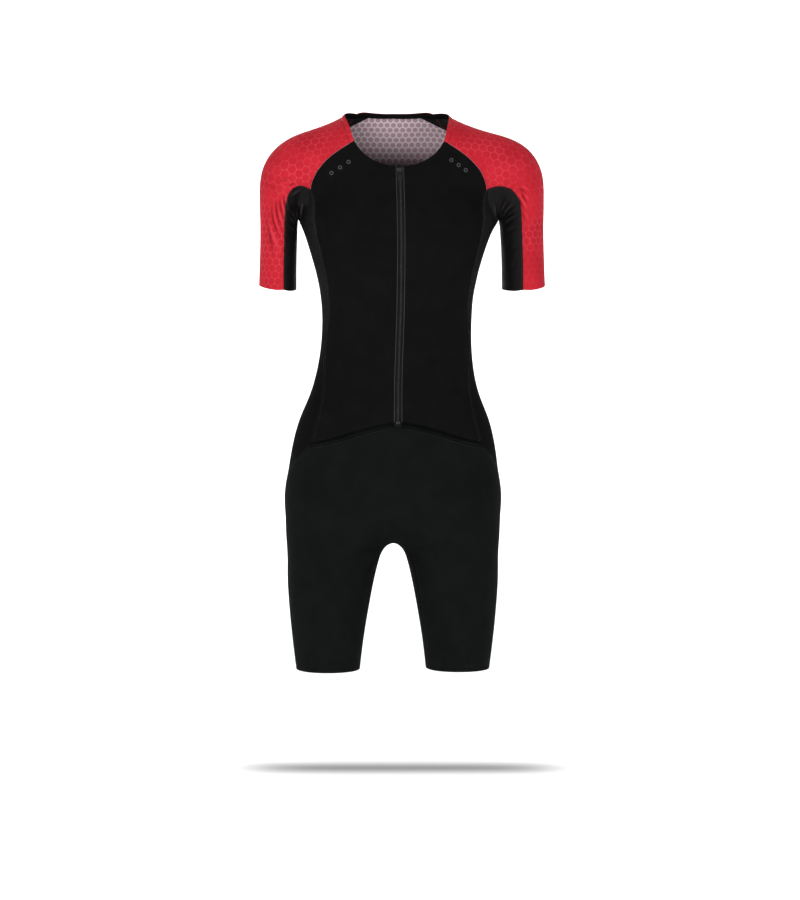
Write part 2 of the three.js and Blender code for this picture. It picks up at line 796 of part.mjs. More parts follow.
// Front bodice, with a band above its waist seam and the zip tape beside it
const frontGrid = panelGrid(
  reversed(waistFront),
  neckFront,
  zipEdge,
  joinRuns(reversed(sideFront), reversed(raglanFront)),
  { footBand: BAND_WIDTH });
addPair('front_bodice', frontGrid.slice(1), COLOURS.black);
addPair('waist_band', frontGrid.slice(0, 2), COLOURS.band);

const centreFront = zipEdge.map((p) => atCentre(p));
addPair('zip_tape', zipEdge.map((p, i) => [centreFront[i], p]), COLOURS.tape);

// Sleeve from neck to cuff, with the neckband along its neck edge, and the inner sleeve
const shoulderLine = seamWithBands([
  cuffOuter[CELLS.overSleeve / 2],
  ...SHOULDER_LINE.map(({ x, z }) => onSurface(x, 0, z)),
  neckOverShoulder[CELLS.overSleeve / 2],
], CELLS.sleeveSeam + CELLS.raglan, 0, NECKBAND_WIDTH);
const sleeveGrid = panelGrid(
  cuffOuter,
  neckOverShoulder,
  joinRuns(reversed(sleeveSeamFront), reversed(raglanFront)),
  joinRuns(reversed(sleeveSeamBack), reversed(raglanBack)),
  { guide: shoulderLine, topBand: NECKBAND_WIDTH });
const neckbandRow = sleeveGrid.length - 2;
addPair('sleeve', sleeveGrid.slice(0, neckbandRow + 1), COLOURS.red);
addPair('neckband', sleeveGrid.slice(neckbandRow), COLOURS.red);

const underarmGrid = panelGrid(
  cuffInner, armhole, reversed(sleeveSeamFront), reversed(sleeveSeamBack));
addPair('underarm', underarmGrid, COLOURS.black);

const sideGrid = panelGrid(waistSide, armhole, reversed(sideFront), reversed(sideBack));
addPair('side_panel', sideGrid, COLOURS.heather);

// Back bodice, and the facing inside the neck edge from shoulder to shoulder
const backHalf = panelGrid(
  waistBack,
  neckBack,
  joinRuns(reversed(sideBack), reversed(raglanBack)),
  centreBack,
  { topBand: NECKBAND_WIDTH });
addWhole('back_bodice', backHalf, COLOURS.red);

const facingStart = CELLS.overSleeve / 2;
const facingHalf = [neckbandRow, neckbandRow + 1].map((r, i) => [
  ...sleeveGrid[r].slice(facingStart),
  ...backHalf[backHalf.length - 2 + i].slice(1),
]);
addWhole('back_neck_facing', facingHalf, COLOURS.black, {
  lift: -WALL - SEAM_GAP,
  wall: FACING_WALL,
});

// Shorts
const innerSeam = (side) => GUSSET.map((row) => onSurface(row.x, row[side], row.height));
const innerFront = innerSeam('front');
const innerBack = innerSeam('back');
for (const run of [innerFront, innerBack]) {
  const foot = lastOf(run);
  run[run.length - 1] = atHeight(foot.x, foot.y, HEM);
}
const inseamFront = seam(innerFront, CELLS.innerLeg);
const inseamBack = seam(innerBack, CELLS.innerLeg);
const legEnd = {
  x: (legAt.inner(HEM) + legAt.outer(HEM)) / 2,
  y: (legAt.front(HEM) + legAt.back(HEM)) / 2,
};
const legSpread = {
  x: (legAt.outer(HEM) - legAt.inner(HEM)) / 2,
  y: (legAt.back(HEM) - legAt.front(HEM)) / 2,
};
const sideFoot = atHeight(legEnd.x + legSpread.x, legEnd.y, HEM);
const hemHeight = () => HEM;
const sideColumns = CELLS.armhole / 2;
const frontColumns = CELLS.frontWidth + sideColumns + 1;
const backColumns = CELLS.frontWidth + sideColumns;
const hemFront = edgeRound(lastOf(inseamFront), sideFoot, legEnd, legSpread, 1, hemHeight, frontColumns);
const hemBack = edgeRound(lastOf(inseamBack), sideFoot, legEnd, legSpread, -1, hemHeight, backColumns);
const hemInner = edgeRound(
  lastOf(inseamFront), lastOf(inseamBack), legEnd, legSpread, -1, hemHeight, CELLS.gusset);
const shortsSide = seam([
  waistSide[sideColumns],
  ...SHORTS_SIDE.map(({ x, y, z }) => onSurface(x, y, z)),
  sideFoot,
], CELLS.centreSeam + CELLS.innerLeg);

const centreFrontShorts = seam([
  centreFront[0],
  ...CENTRE_FRONT_SHORTS.map((z) => seenPoint(0, z, -1)),
  inseamFront[0],
], CELLS.centreSeam);
const shortsFrontHalf = panelGrid(
  hemFront,
  joinRuns([centreFront[0], zipEdge[0]], reversed(waistFront), waistSide.slice(0, sideColumns + 1)),
  joinRuns(reversed(inseamFront), reversed(centreFrontShorts)),
  reversed(shortsSide));
addWhole('shorts_front', shortsFrontHalf, COLOURS.black);

const centreBackShorts = seam([
  lastOf(waistBack),
  ...CENTRE_BACK_SHORTS.map((z) => seenPoint(0, z, 1)),
  inseamBack[0],
], CELLS.centreSeam);
const shortsBackGrid = panelGrid(
  reversed(hemBack),
  joinRuns(waistSide.slice(sideColumns), waistBack),
  reversed(shortsSide),
  joinRuns(reversed(inseamBack), reversed(centreBackShorts)));
addPair('shorts_back', shortsBackGrid, COLOURS.black);

const crotchLine = seam([
  inseamFront[0],
  onSurface(0, 2, CROTCH - 4),
  inseamBack[0],
], CELLS.gusset);
const gussetHalf = panelGrid(inseamFront, inseamBack, crotchLine, hemInner);
addWhole('inner_leg_gusset', gussetHalf, COLOURS.black);

// Closed solids joined into one
function solidOf(geometry) {
  const bare = geometry.clone();
  bare.deleteAttribute('normal');
  bare.deleteAttribute('uv');
  const merged = mergeVertices(bare, 1e-4);
  return new wasm.Manifold(new wasm.Mesh({
    numProp: 3,
    vertProperties: new Float32Array(merged.attributes.position.array),
    triVerts: new Uint32Array(merged.index.array),
  }));
}

function joined(first, second) {
  const mesh = solidOf(first).add(solidOf(second)).getMesh();
  const geometry = new THREE.BufferGeometry();
  geometry.setAttribute('position', new THREE.Float32BufferAttribute(mesh.vertProperties, 3));
  geometry.setIndex([...mesh.triVerts]);
  geometry.computeVertexNormals();
  return geometry;
}

function plateFrom(outline, depth, holes = []) {
  const shape = new THREE.Shape(outline.map(([x, y]) => new THREE.Vector2(x, y)));
  shape.holes = holes.map((hole) => new THREE.Path(hole.map(([x, y]) => new THREE.Vector2(x, y))));
  return new THREE.ExtrudeGeometry(shape, { depth, bevelEnabled: false });
}

function rectangle(x0, y0, x1, y1) {
  return [[x0, y0], [x1, y0], [x1, y1], [x0, y1]];
}

// Slider: a flat body, wide where the tapes part, with a bridge that holds the pull
function sliderGeometry() {
  const end = SLIDER.length / 2;
  const body = plateFrom([
    [-SLIDER.halfFoot, -end],
    [SLIDER.halfFoot, -end],
    [SLIDER.halfFoot, -SLIDER.taper],
    [SLIDER.halfTop, SLIDER.taper],
    [SLIDER.halfTop, end - SLIDER.corner],
    [SLIDER.halfTop - SLIDER.corner, end],
    [SLIDER.corner - SLIDER.halfTop, end],
    [-SLIDER.halfTop, end - SLIDER.corner],
    [-SLIDER.halfTop, SLIDER.taper],
    [-SLIDER.halfFoot, -SLIDER.taper],
  ], SLIDER.plate).translate(0, 0, SLIDER.lift);
  const low = SLIDER.lift + SLIDER.plate / 2;
  const bridge = plateFrom(
    [
      [-CROWN.halfLength, low],
      [CROWN.halfLength, low],
      [CROWN.halfLength, CROWN.gapHigh],
      [CROWN.gapHalf, CROWN.top],
      [-CROWN.gapHalf, CROWN.top],
      [-CROWN.halfLength, CROWN.gapHigh],
    ],
    2 * CROWN.halfWidth,
    [rectangle(-CROWN.gapHalf, CROWN.gapLow, CROWN.gapHalf, CROWN.gapHigh)]);
  bridge.translate(0, 0, -CROWN.halfWidth);
  bridge.applyMatrix4(new THREE.Matrix4().makeBasis(
    new THREE.Vector3(0, 1, 0), new THREE.Vector3(0, 0, 1), new THREE.Vector3(1, 0, 0)));
  return joined(body, bridge);
}

// Pull: a wire loop through the bridge and a flat tab, hanging from the hinge line at its origin
function pullGeometry() {
  const outer = PULL.halfWidth + PULL.wire;
  const inner = PULL.halfWidth - PULL.wire;
  const loopFoot = -PULL.neck - 2 * PULL.wire;
  const loop = plateFrom(
    rectangle(-outer, loopFoot, outer, PULL.wire),
    2 * PULL.wire,
    [rectangle(-inner, -PULL.neck, inner, -PULL.wire)]).translate(0, 0, -PULL.wire);
  const foot = -PULL.neck - PULL.length;
  const tab = plateFrom([
    [-PULL.halfTab + PULL.corner, foot],
    [PULL.halfTab - PULL.corner, foot],
    [PULL.halfTab, foot + PULL.corner],
    [PULL.halfTab, -PULL.neck - PULL.wire],
    [-PULL.halfTab, -PULL.neck - PULL.wire],
    [-PULL.halfTab, foot + PULL.corner],
  ], PULL.thickness).translate(0, 0, -PULL.thickness / 2);
  return joined(loop, tab);
}

// A group that sits on the zip at a height: its Z points out of the cloth and its Y up along it
function onZip(height) {
  const place = seenPoint(0, height, -1);
  const out = outward(place).normalize();
  const up = out.clone().cross(new THREE.Vector3(1, 0, 0)).normalize();
  const group = new THREE.Group();
  group.position.copy(worn(place));
  group.setRotationFromMatrix(new THREE.Matrix4().makeBasis(new THREE.Vector3(1, 0, 0), up, out));
  suit.add(group);
  return group;
}

const sliderPlace = onZip(SLIDER.height);
sliderPlace.add(namedMesh('zip_slider', sliderGeometry(), COLOURS.metal, 0.4, 0.7));
const pull = namedMesh('zip_pull_tab', pullGeometry(), COLOURS.metal, 0.5, 0.2);
pull.position.set(0, HINGE.along, HINGE.out);
pull.rotation.x = PULL.lean;
sliderPlace.add(pull);

const stop = plateFrom(
  rectangle(-STOP.width / 2, -STOP.length / 2, STOP.width / 2, STOP.length / 2), STOP.thickness);
stop.translate(0, 0, SEAM_GAP);
onZip(STOP.height).add(namedMesh('zip_bottom_stop', stop, COLOURS.metal, 0.5, 0.6));

export default suit;
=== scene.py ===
# %% [markdown]
# A triathlon suit, shown as it is worn but with nobody in it. The packed model is
# loaded first and is never moved. Each sewn panel is then made again as thin cloth on
# the form of its solid, so every seam, cuff and hem stays where the pattern puts it.

import json
import math
from collections import namedtuple

import bmesh
import bpy
import numpy as np
from mathutils import Matrix, Vector
from mathutils.bvhtree import BVHTree
from mathutils.kdtree import KDTree

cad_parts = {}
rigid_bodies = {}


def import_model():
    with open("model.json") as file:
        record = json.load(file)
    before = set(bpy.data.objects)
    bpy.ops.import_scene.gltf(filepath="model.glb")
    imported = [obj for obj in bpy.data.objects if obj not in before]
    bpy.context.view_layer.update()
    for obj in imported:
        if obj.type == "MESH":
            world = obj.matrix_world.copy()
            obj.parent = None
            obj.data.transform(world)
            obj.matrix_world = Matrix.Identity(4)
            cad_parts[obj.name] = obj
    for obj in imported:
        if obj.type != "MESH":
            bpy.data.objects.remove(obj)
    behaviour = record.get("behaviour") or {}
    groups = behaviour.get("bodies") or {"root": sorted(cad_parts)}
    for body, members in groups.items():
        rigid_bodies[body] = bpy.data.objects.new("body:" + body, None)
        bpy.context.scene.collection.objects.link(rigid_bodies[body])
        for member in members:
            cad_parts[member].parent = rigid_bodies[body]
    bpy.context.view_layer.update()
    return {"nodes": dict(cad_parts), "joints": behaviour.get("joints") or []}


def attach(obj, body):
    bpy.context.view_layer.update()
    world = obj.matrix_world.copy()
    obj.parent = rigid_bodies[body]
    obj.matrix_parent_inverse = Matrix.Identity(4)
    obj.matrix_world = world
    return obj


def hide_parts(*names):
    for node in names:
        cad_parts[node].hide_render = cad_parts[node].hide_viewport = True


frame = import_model()
MM = 0.001
print("packed nodes:", len(frame["nodes"]))

# %% [markdown]
# The camera stands where the picture was taken: four metres off, a little to the
# wearer's right, just above the waist's height and tipped slightly down. It comes
# first, because everything that follows is judged through it.

# %% Camera
CAMERA_PLACE = Vector((-0.249, -4.192, -0.284))
AIM = Vector((0.0047, 0, -0.516))
LENS = 108.5
SENSOR_WIDTH = 36

camera_data = bpy.data.cameras.new("camera")
camera_data.lens = LENS
camera_data.sensor_width = SENSOR_WIDTH
camera = bpy.data.objects.new("camera", camera_data)
camera.location = CAMERA_PLACE
camera.rotation_euler = (AIM - CAMERA_PLACE).to_track_quat("-Z", "Y").to_euler()
bpy.context.scene.collection.objects.link(camera)
bpy.context.scene.camera = camera
print("camera", round((AIM - CAMERA_PLACE).length, 3), "m from the suit")

# %% [markdown]
# Every finish is worked out with nodes. A small class lets the maths be written as
# plain expressions: a Value is one number that changes over the surface, and adding or
# multiplying it adds a Math node. Colours never go through it, since a Math node would
# turn them grey.

# %% Values
class Value:
    """A number that varies over a surface, from one socket."""

    def __init__(self, finish, socket):
        self.finish = finish
        self.socket = socket

    def maths(self, operation, *numbers):
        node = self.finish.node("ShaderNodeMath", {"operation": operation})
        for place, number in zip(node.inputs, numbers):
            self.finish.feed(place, number)
        return Value(self.finish, node.outputs[0])

    def __add__(self, other):
        return self.maths("ADD", self, other)

    def __radd__(self, other):
        return self.maths("ADD", other, self)

    def __sub__(self, other):
        return self.maths("SUBTRACT", self, other)

    def __rsub__(self, other):
        return self.maths("SUBTRACT", other, self)

    def __mul__(self, other):
        return self.maths("MULTIPLY", self, other)

    def __rmul__(self, other):
        return self.maths("MULTIPLY", other, self)

    def __truediv__(self, other):
        return self.maths("DIVIDE", self, other)

    def __mod__(self, other):
        return self.maths("FLOORED_MODULO", self, other)

    def __lt__(self, other):
        return self.maths("LESS_THAN", self, other)

    def __abs__(self):
        return self.maths("ABSOLUTE", self)

    def sine(self):
        return self.maths("SINE", self)

    def root(self):
        return self.maths("SQRT", self)

    def larger(self, other):
        return self.maths("MAXIMUM", self, other)

    def ramp(self, low, high):
        """0 below low, 1 above high, and a smooth rise between them."""
        node = self.finish.node(
            "ShaderNodeMapRange", {"interpolation_type": "SMOOTHSTEP"},
            **{"Value": self, "From Min": low, "From Max": high})
        return Value(self.finish, node.outputs["Result"])


print("kinds of sum on a Value:", sum(callable(each) for each in vars(Value).values()))

# %% [markdown]
# A Finish is one material. It reads three things from a piece: its place on the suit, the
# flat map of its cloth, and how far the creases push the cloth out or in. The last of
# these tones the colour: shade is painted into a trough and a highlight onto a ridge.

# %% Finishes
CLOTH_MAP = "cloth"
CREASE_MAP = "crease"
RIDGE_START, RIDGE_FULL = 0.15, 0.9
TROUGH_START, TROUGH_FULL = 0.2, 2.0
MIX_AMOUNT, MIX_FIRST, MIX_SECOND, MIX_RESULT = 0, 6, 7, 2


class Finish:
    """One material: its shader, and the nodes that feed it."""

    def __init__(self, name, roughness=0.8, sheen=0.0, metallic=0.0, specular=0.5):
        self.material = bpy.data.materials.new(name)
        self.material.use_nodes = True
        self.tree = self.material.node_tree
        self.shader = self.tree.nodes["Principled BSDF"]
        self.shader.inputs["Roughness"].default_value = roughness
        self.shader.inputs["Metallic"].default_value = metallic
        self.shader.inputs["Specular IOR Level"].default_value = specular
        self.shader.inputs["Sheen Weight"].default_value = sheen
        self.shader.inputs["Sheen Roughness"].default_value = 0.5

    def feed(self, place, what):
        """Links a value or socket to a place, or sets the place to a constant."""
        if isinstance(what, Value):
            what = what.socket
        if isinstance(what, bpy.types.NodeSocket):
            self.tree.links.new(what, place)
        elif isinstance(what, tuple) and len(what) == 3 and place.type == "RGBA":
            place.default_value = (*what, 1)
        else:
            place.default_value = what

    def node(self, kind, settings=(), **places):
        made = self.tree.nodes.new(kind)
        for setting, choice in dict(settings).items():
            setattr(made, setting, choice)
        for place, what in places.items():
            self.feed(made.inputs[place], what)
        return made

    def blend(self, first, second, amount):
        """A colour between two colours."""
        made = self.node("ShaderNodeMix", {"data_type": "RGBA"})
        self.feed(made.inputs[MIX_AMOUNT], amount)
        self.feed(made.inputs[MIX_FIRST], first)
        self.feed(made.inputs[MIX_SECOND], second)
        return made.outputs[MIX_RESULT]

    def noise(self, where, scale, detail=2.0, roughness=0.5):
        made = self.node(
            "ShaderNodeTexNoise",
            **{"Vector": where, "Scale": scale, "Detail": detail, "Roughness": roughness})
        return Value(self, made.outputs[0])

    def parts(self, place):
        """The three numbers of a place, each as a Value."""
        split = self.node("ShaderNodeSeparateXYZ", Vector=place)
        return [Value(self, split.outputs[axis]) for axis in "XYZ"]

    def solid_place(self):
        return self.node("ShaderNodeTexCoord").outputs["Object"]

    def cloth_place(self):
        """The place on the flat cloth, in metres across it and along it."""
        return self.node("ShaderNodeUVMap", {"uv_map": CLOTH_MAP}).outputs["UV"]

    def creased(self, colour, shade, wear_and_highlight):
        """The colour with painted shade in the troughs and a painted highlight on the ridges.
        """
        push = self.node("ShaderNodeAttribute", {"attribute_name": CREASE_MAP})
        push = Value(self, push.outputs["Fac"])
        # Painted highlight on the ridges, then painted shade in the troughs.
        lit = self.blend(colour, wear_and_highlight, push.ramp(RIDGE_START, RIDGE_FULL))
        return self.blend(lit, shade, (0 - push).ramp(TROUGH_START, TROUGH_FULL))

    def colour(self, what):
        self.feed(self.shader.inputs["Base Color"], what)

    def relief(self, height, depth, strength=1.0):
        made = self.node(
            "ShaderNodeBump", Height=height, Distance=depth, Strength=strength)
        self.feed(self.shader.inputs["Normal"], made.outputs["Normal"])

    def roughen(self, what):
        self.feed(self.shader.inputs["Roughness"], what)


def tone(code):
    """A colour written as six hex digits, as the light values that Blender uses."""
    parts = [int(code[at:at + 2], 16) / 255 for at in (0, 2, 4)]
    return tuple(
        part / 12.92 if part <= 0.04045 else ((part + 0.055) / 1.055) ** 2.4
        for part in parts)


print("red is", [round(part, 3) for part in tone("e03544")])

# %% [markdown]
# Knitted cloth is columns of small loops. From arm's length they are only a fine grain,
# so they are a shallow relief on the cloth's own two directions, not on the room's, and
# they turn with each panel. The grain is common to all the cloths, and each adds its
# own pattern to it.

# %% Knit grain and the six-sided net
COURSE = 0.9 * MM
WALE = 0.8 * MM
HONEYCOMB = 12.6 * MM


def knit_grain(across, along):
    """The rounded tops of the loops, from -1 to 1."""
    turn = 2 * math.pi
    return (across * (turn / WALE)).sine() * (along * (turn / COURSE)).sine()


def six_sided(across, along, pitch):
    """Steps from the middle of the nearest cell of a six-sided net, in pitches."""
    rise = math.sqrt(3)
    x = across / pitch
    y = along / pitch
    near_x = x % 1 - 0.5
    near_y = y % rise - rise / 2
    far_x = (x + 0.5) % 1 - 0.5
    far_y = (y + rise / 2) % rise - rise / 2
    nearer = near_x * near_x + near_y * near_y < far_x * far_x + far_y * far_y
    step_x = abs(far_x + nearer * (near_x - far_x))
    step_y = abs(far_y + nearer * (near_y - far_y))
    return step_x, step_y


def cell_edge(step_x, step_y):
    """0 in the middle of a cell and 1 on its straight edges."""
    slant = step_x * 0.5 + step_y * (math.sqrt(3) / 2)
    return step_x.larger(slant) * 2


print("honeycomb pitch", HONEYCOMB / MM, "mm")

# %% [markdown]
# The red cloth carries a woven-in honeycomb: rounded cells a little deeper in tone, with
# thin light lines between them. It is nearly the same red and comes and goes in patches,
# as worn cloth catches the light. Adding the straight edge of a cell to the distance from
# its middle gives lines that are rounded at the corners.

# %% Red cloth
LINE_START, LINE_FULL = 0.78, 1.02
LINE_FAINT, LINE_PATCHY = 0.12, 0.34


def red_cloth():
    finish = Finish("red honeycomb knit", roughness=0.75, specular=0.06)
    across, along = finish.parts(finish.cloth_place())[:2]
    step_x, step_y = six_sided(across, along, HONEYCOMB)
    out = (step_x * step_x + step_y * step_y).root()
    line = (cell_edge(step_x, step_y) * 0.5 + out).ramp(LINE_START, LINE_FULL)
    cloudy = finish.noise(finish.solid_place(), scale=26, detail=3)
    patchy = finish.noise(finish.solid_place(), scale=17, detail=1).ramp(0.38, 0.62)
    ground = finish.blend(tone("c92735"), tone("bd222f"), cloudy.ramp(0.35, 0.65))
    shown = line * (LINE_FAINT + LINE_PATCHY * patchy)
    netted = finish.blend(ground, tone("de4c58"), shown)
    # Painted shade in the crease troughs and a painted highlight on their ridges.
    finish.colour(finish.creased(netted, tone("8c1620"), tone("da3a48")))
    grain = knit_grain(across, along)
    finish.relief(line * 0.6 + grain * 0.25, depth=0.22 * MM, strength=0.6)
    finish.roughen(0.72 - line * 0.12)
    return finish.material


RED = red_cloth()
print("red cloth uses", len(RED.node_tree.nodes), "nodes")

# %% [markdown]
# The reverse of the red cloth is pale, with dull dots on the same kind of net. Little
# light falls into the neck, so it darkens from the neck down. At both ends of the back
# neck the black facing shows as a slanting corner, and a dark red line ends the cloth
# above it.

# %% Pale reverse
REVERSE_PITCH = 9.6 * MM
DULL_DOT, PALE_ROUND_IT = 0.36, 0.42
SHADE_TOP = -0.022
SHADE_FOOT = -0.08
CORNER_FALL = 0.484
CORNER_HEIGHT = 0.0195
CORNER_BLUR = 0.0006
CORNER_END = 0.084
EDGE_HEIGHT = 0.0054
EDGE_BLUR = 0.0004


def pale_reverse():
    finish = Finish("pale reverse with dots", roughness=0.85, sheen=0.1, specular=0.2)
    across, along = finish.parts(finish.cloth_place())[:2]
    step_x, step_y = six_sided(across, along, REVERSE_PITCH)
    out = (step_x * step_x + step_y * step_y).root()
    dot = 1 - out.ramp(DULL_DOT, PALE_ROUND_IT)
    pale = finish.blend(tone("ffecf3"), tone("d2aeba"), dot)
    x, height = finish.parts(finish.solid_place())[::2]
    lower = 1 - height.ramp(SHADE_FOOT, SHADE_TOP)
    shaded = finish.blend(pale, tone("28171a"), lower)
    aside = abs(x)
    slope = height + aside * CORNER_FALL
    corner = slope.ramp(CORNER_HEIGHT - CORNER_BLUR, CORNER_HEIGHT + CORNER_BLUR)
    corner = corner * (aside < CORNER_END)
    cornered = finish.blend(shaded, tone("0a0a0a"), corner)
    edge = height.ramp(EDGE_HEIGHT, EDGE_HEIGHT + EDGE_BLUR)
    finish.colour(finish.blend(cornered, tone("52181f"), edge))
    finish.relief(knit_grain(across, along), depth=0.15 * MM, strength=0.5)
    return finish.material


REVERSE = pale_reverse()
print("pale reverse uses", len(REVERSE.node_tree.nodes), "nodes")

# %% [markdown]
# Three thin grey rings are printed in a row on each side of the chest. Print has no
# height, so a ring is only a tone: the places whose distance from its middle is close to
# its radius.

# %% Printed rings
RingRow = namedtuple("RingRow", "first_x first_z step_x step_z")
RING_ROWS = [
    RingRow(-0.103, -0.0912, 0.0129, 0.0083),
    RingRow(0.0794, -0.0712, 0.011, -0.0076),
]
RINGS_IN_ROW = 3
RING_RADIUS = 2.4 * MM
RING_LINE = 0.7 * MM


def printed_rings(finish):
    """1 on the thin rings printed on the chest, and 0 between them."""
    x, z = finish.parts(finish.solid_place())[::2]
    rings = None
    for row in RING_ROWS:
        for count in range(RINGS_IN_ROW):
            side = x - (row.first_x + row.step_x * count)
            rise = z - (row.first_z + row.step_z * count)
            off = abs((side * side + rise * rise).root() - RING_RADIUS)
            ring = 1 - off.ramp(RING_LINE * 0.6, RING_LINE * 1.2)
            rings = ring if rings is None else rings.larger(ring)
    return rings


print("printed rings:", len(RING_ROWS) * RINGS_IN_ROW)

# %% [markdown]
# The black parts are one smooth knit with a tone for each group of panels, painted light
# and shade because the groups take the light differently, and the inner sleeves carry a
# painted red reflection from the red beside them.
# The side panels are a heather knit, with dark and light fibres spun together, and they
# fade to near black towards the waist.

# %% Black and heather cloth
def black_cloth(name, deep, light, roughness=0.9, specular=0.04, wear_and_highlight="1a1a1a",
                printed=False):
    """A smooth black knit with a faint cloudiness, as worn stretch cloth has."""
    finish = Finish(name, roughness=roughness, specular=specular)
    across, along = finish.parts(finish.cloth_place())[:2]
    cloudy = finish.noise(finish.solid_place(), scale=34, detail=4)
    ground = finish.blend(tone(deep), tone(light), cloudy.ramp(0.3, 0.7))
    if printed:
        ground = finish.blend(ground, tone("4e4e4e"), printed_rings(finish))
    # Painted shade in the crease troughs and a painted highlight on their ridges.
    finish.colour(finish.creased(ground, tone("050505"), tone(wear_and_highlight)))
    grain = knit_grain(across, along)
    finish.relief(grain * 0.3 + cloudy * 0.6, depth=0.2 * MM, strength=0.5)
    finish.roughen(roughness + 0.1 * (cloudy - 0.5))
    return finish.material


HEATHER_TOP = -0.19
HEATHER_FOOT = -0.44
FLECK_STRETCH = 0.35


def heather_cloth():
    """Dark cloth with short pale flecks that lie along the rows of loops."""
    finish = Finish("grey heather knit", roughness=0.95, specular=0.03)
    place = finish.cloth_place()
    across, along = finish.parts(place)[:2]
    mapped = finish.node("ShaderNodeMapping", Vector=place, Scale=(1, FLECK_STRETCH, 1))
    long_way = mapped.outputs["Vector"]
    fleck = finish.noise(long_way, scale=1500, detail=2, roughness=0.7)
    patch = finish.noise(long_way, scale=420, detail=2)
    height = finish.parts(finish.solid_place())[2]
    upper = height.ramp(HEATHER_FOOT, HEATHER_TOP)
    ground = finish.blend(tone("151515"), tone("1f1f1f"), patch.ramp(0.35, 0.65))
    flecked = finish.blend(ground, tone("4b4a4a"), fleck.ramp(0.56, 0.72))
    finish.colour(finish.blend(tone("0f0f10"), flecked, upper))
    grain = knit_grain(across, along)
    finish.relief(grain * 0.4 + fleck * 0.6, depth=0.2 * MM, strength=0.6)
    return finish.material


BLACK = black_cloth("black bodice knit", "0e0e0f", "111112", printed=True)
SHORTS = black_cloth("black shorts knit", "0f1211", "121514")
# The inner sleeve's reddish tones are a painted red reflection, and its pale ridge tone a
# painted highlight.
INNER = black_cloth("black inner sleeve knit", "0a0809", "0f0c0d", 0.6, 0.15, "2e282a")
GUSSET = black_cloth("black gusset knit", "060707", "0a0b0b")
BAND = black_cloth("waist band knit", "050607", "090a0b")
TAPE = black_cloth("zip tape", "141414", "1b1b1b")
INSIDE = black_cloth("black reverse", "0a0a0a", "101010")
PALE_RIM = black_cloth("pale neck edge", "b07c80", "c08c90")
HEATHER = heather_cloth()
print("finishes so far:", len(bpy.data.materials))

# %% [markdown]
# Nineteen panels meet edge to edge, and most come in pairs. Each is listed with the packed
# solid that it stands for, the slot of that solid, and its outside and inside cloth. The
# facing inside the back neck lies under the back, so it comes later.

# %% Panels
Panel = namedtuple("Panel", "node slot outside inside")
PANELS = [
    Panel("back_bodice", "red_knit", RED, REVERSE),
    Panel("inner_leg_gusset", "black_knit", GUSSET, INSIDE),
    Panel("shorts_front", "black_knit", SHORTS, INSIDE),
]
for hand in ("left", "right"):
    PANELS += [
        Panel(f"front_bodice_{hand}", "black_knit", BLACK, INSIDE),
        Panel(f"side_panel_{hand}", "heather_knit", HEATHER, INSIDE),
        Panel(f"sleeve_{hand}", "red_knit", RED, REVERSE),
        Panel(f"underarm_{hand}", "black_knit", INNER, INSIDE),
        Panel(f"neckband_{hand}", "red_knit", RED, INSIDE),
        Panel(f"waist_band_{hand}", "band_knit", BAND, INSIDE),
        Panel(f"shorts_back_{hand}", "black_knit", SHORTS, INSIDE),
        Panel(f"zip_tape_{hand}", "zip_tape", TAPE, TAPE),
    ]
print("panels:", len(PANELS))

# %% [markdown]
# Each sewn panel takes its form from its solid. A copy of the solid is merged, its rim
# is dropped, and of the two faces that are left only the outer one is kept. The outer
# face is the one that looks away from the middle of the body or limb inside it.

# %% Outer faces
WELD = 0.02 * MM
RIM_EDGE = 2.2 * MM
CROTCH = -0.60
ARM_FOOT = -0.30
ARM_SIDE = 0.13
ARM_MIDDLE = 0.165
ARM_TOP = -0.10
ARM_SPREAD = 0.13
ARM_DROP = 0.01
LEG_MIDDLE = 0.1
NECK = -0.08


def middle_near(point):
    """The middle of the arm, leg or body that a place on the cloth goes round."""
    side = math.copysign(1, point.x)
    if abs(point.x) > ARM_SIDE and point.z > ARM_FOOT:
        out = ARM_MIDDLE - (point.z - ARM_TOP) * ARM_SPREAD
        return Vector((side * out, 0, point.z - ARM_DROP))
    if point.z < CROTCH:
        return Vector((side * LEG_MIDDLE, 0, point.z))
    return Vector((0, 0, min(point.z, NECK)))


def islands(mesh):
    """The groups of faces that hang together."""
    groups = []
    seen = set()
    for face in mesh.faces:
        if face in seen:
            continue
        seen.add(face)
        group = [face]
        for member in group:
            for edge in member.edges:
                new = [other for other in edge.link_faces if other not in seen]
                seen.update(new)
                group.extend(new)
        groups.append(group)
    return groups


def looks_out(group):
    """More than zero where a group of faces looks away from the body inside it."""
    total = 0
    for face in group:
        centre = face.calc_center_median()
        total += face.calc_area() * face.normal.dot(centre - middle_near(centre))
    return total


def outer_face(node):
    """The outer face of a packed cloth solid, in four-sided cells where it can be."""
    sheet = bmesh.new()
    sheet.from_mesh(frame["nodes"][node].data)
    bmesh.ops.remove_doubles(sheet, verts=sheet.verts, dist=WELD)
    rim = [
        face for face in sheet.faces
        if min(edge.calc_length() for edge in face.edges) < RIM_EDGE]
    bmesh.ops.delete(sheet, geom=rim, context="FACES")
    inner = [face for group in islands(sheet) if looks_out(group) < 0 for face in group]
    bmesh.ops.delete(sheet, geom=inner, context="FACES")
    bmesh.ops.join_triangles(
        sheet, faces=sheet.faces,
        angle_face_threshold=math.radians(60), angle_shape_threshold=math.radians(80))
    return sheet


def as_object(name, sheet):
    """A bmesh as an object at the origin, and the bmesh is freed."""
    mesh = bpy.data.meshes.new(name)
    sheet.to_mesh(mesh)
    sheet.free()
    made = bpy.data.objects.new(name, mesh)
    bpy.context.scene.collection.objects.link(made)
    return made


def make_active(made):
    for other in bpy.context.view_layer.objects:
        other.select_set(False)
    made.select_set(True)
    bpy.context.view_layer.objects.active = made


trial = outer_face("shorts_front")
print("the shorts' front has", len(trial.faces), "cells on its outer face")
trial.free()

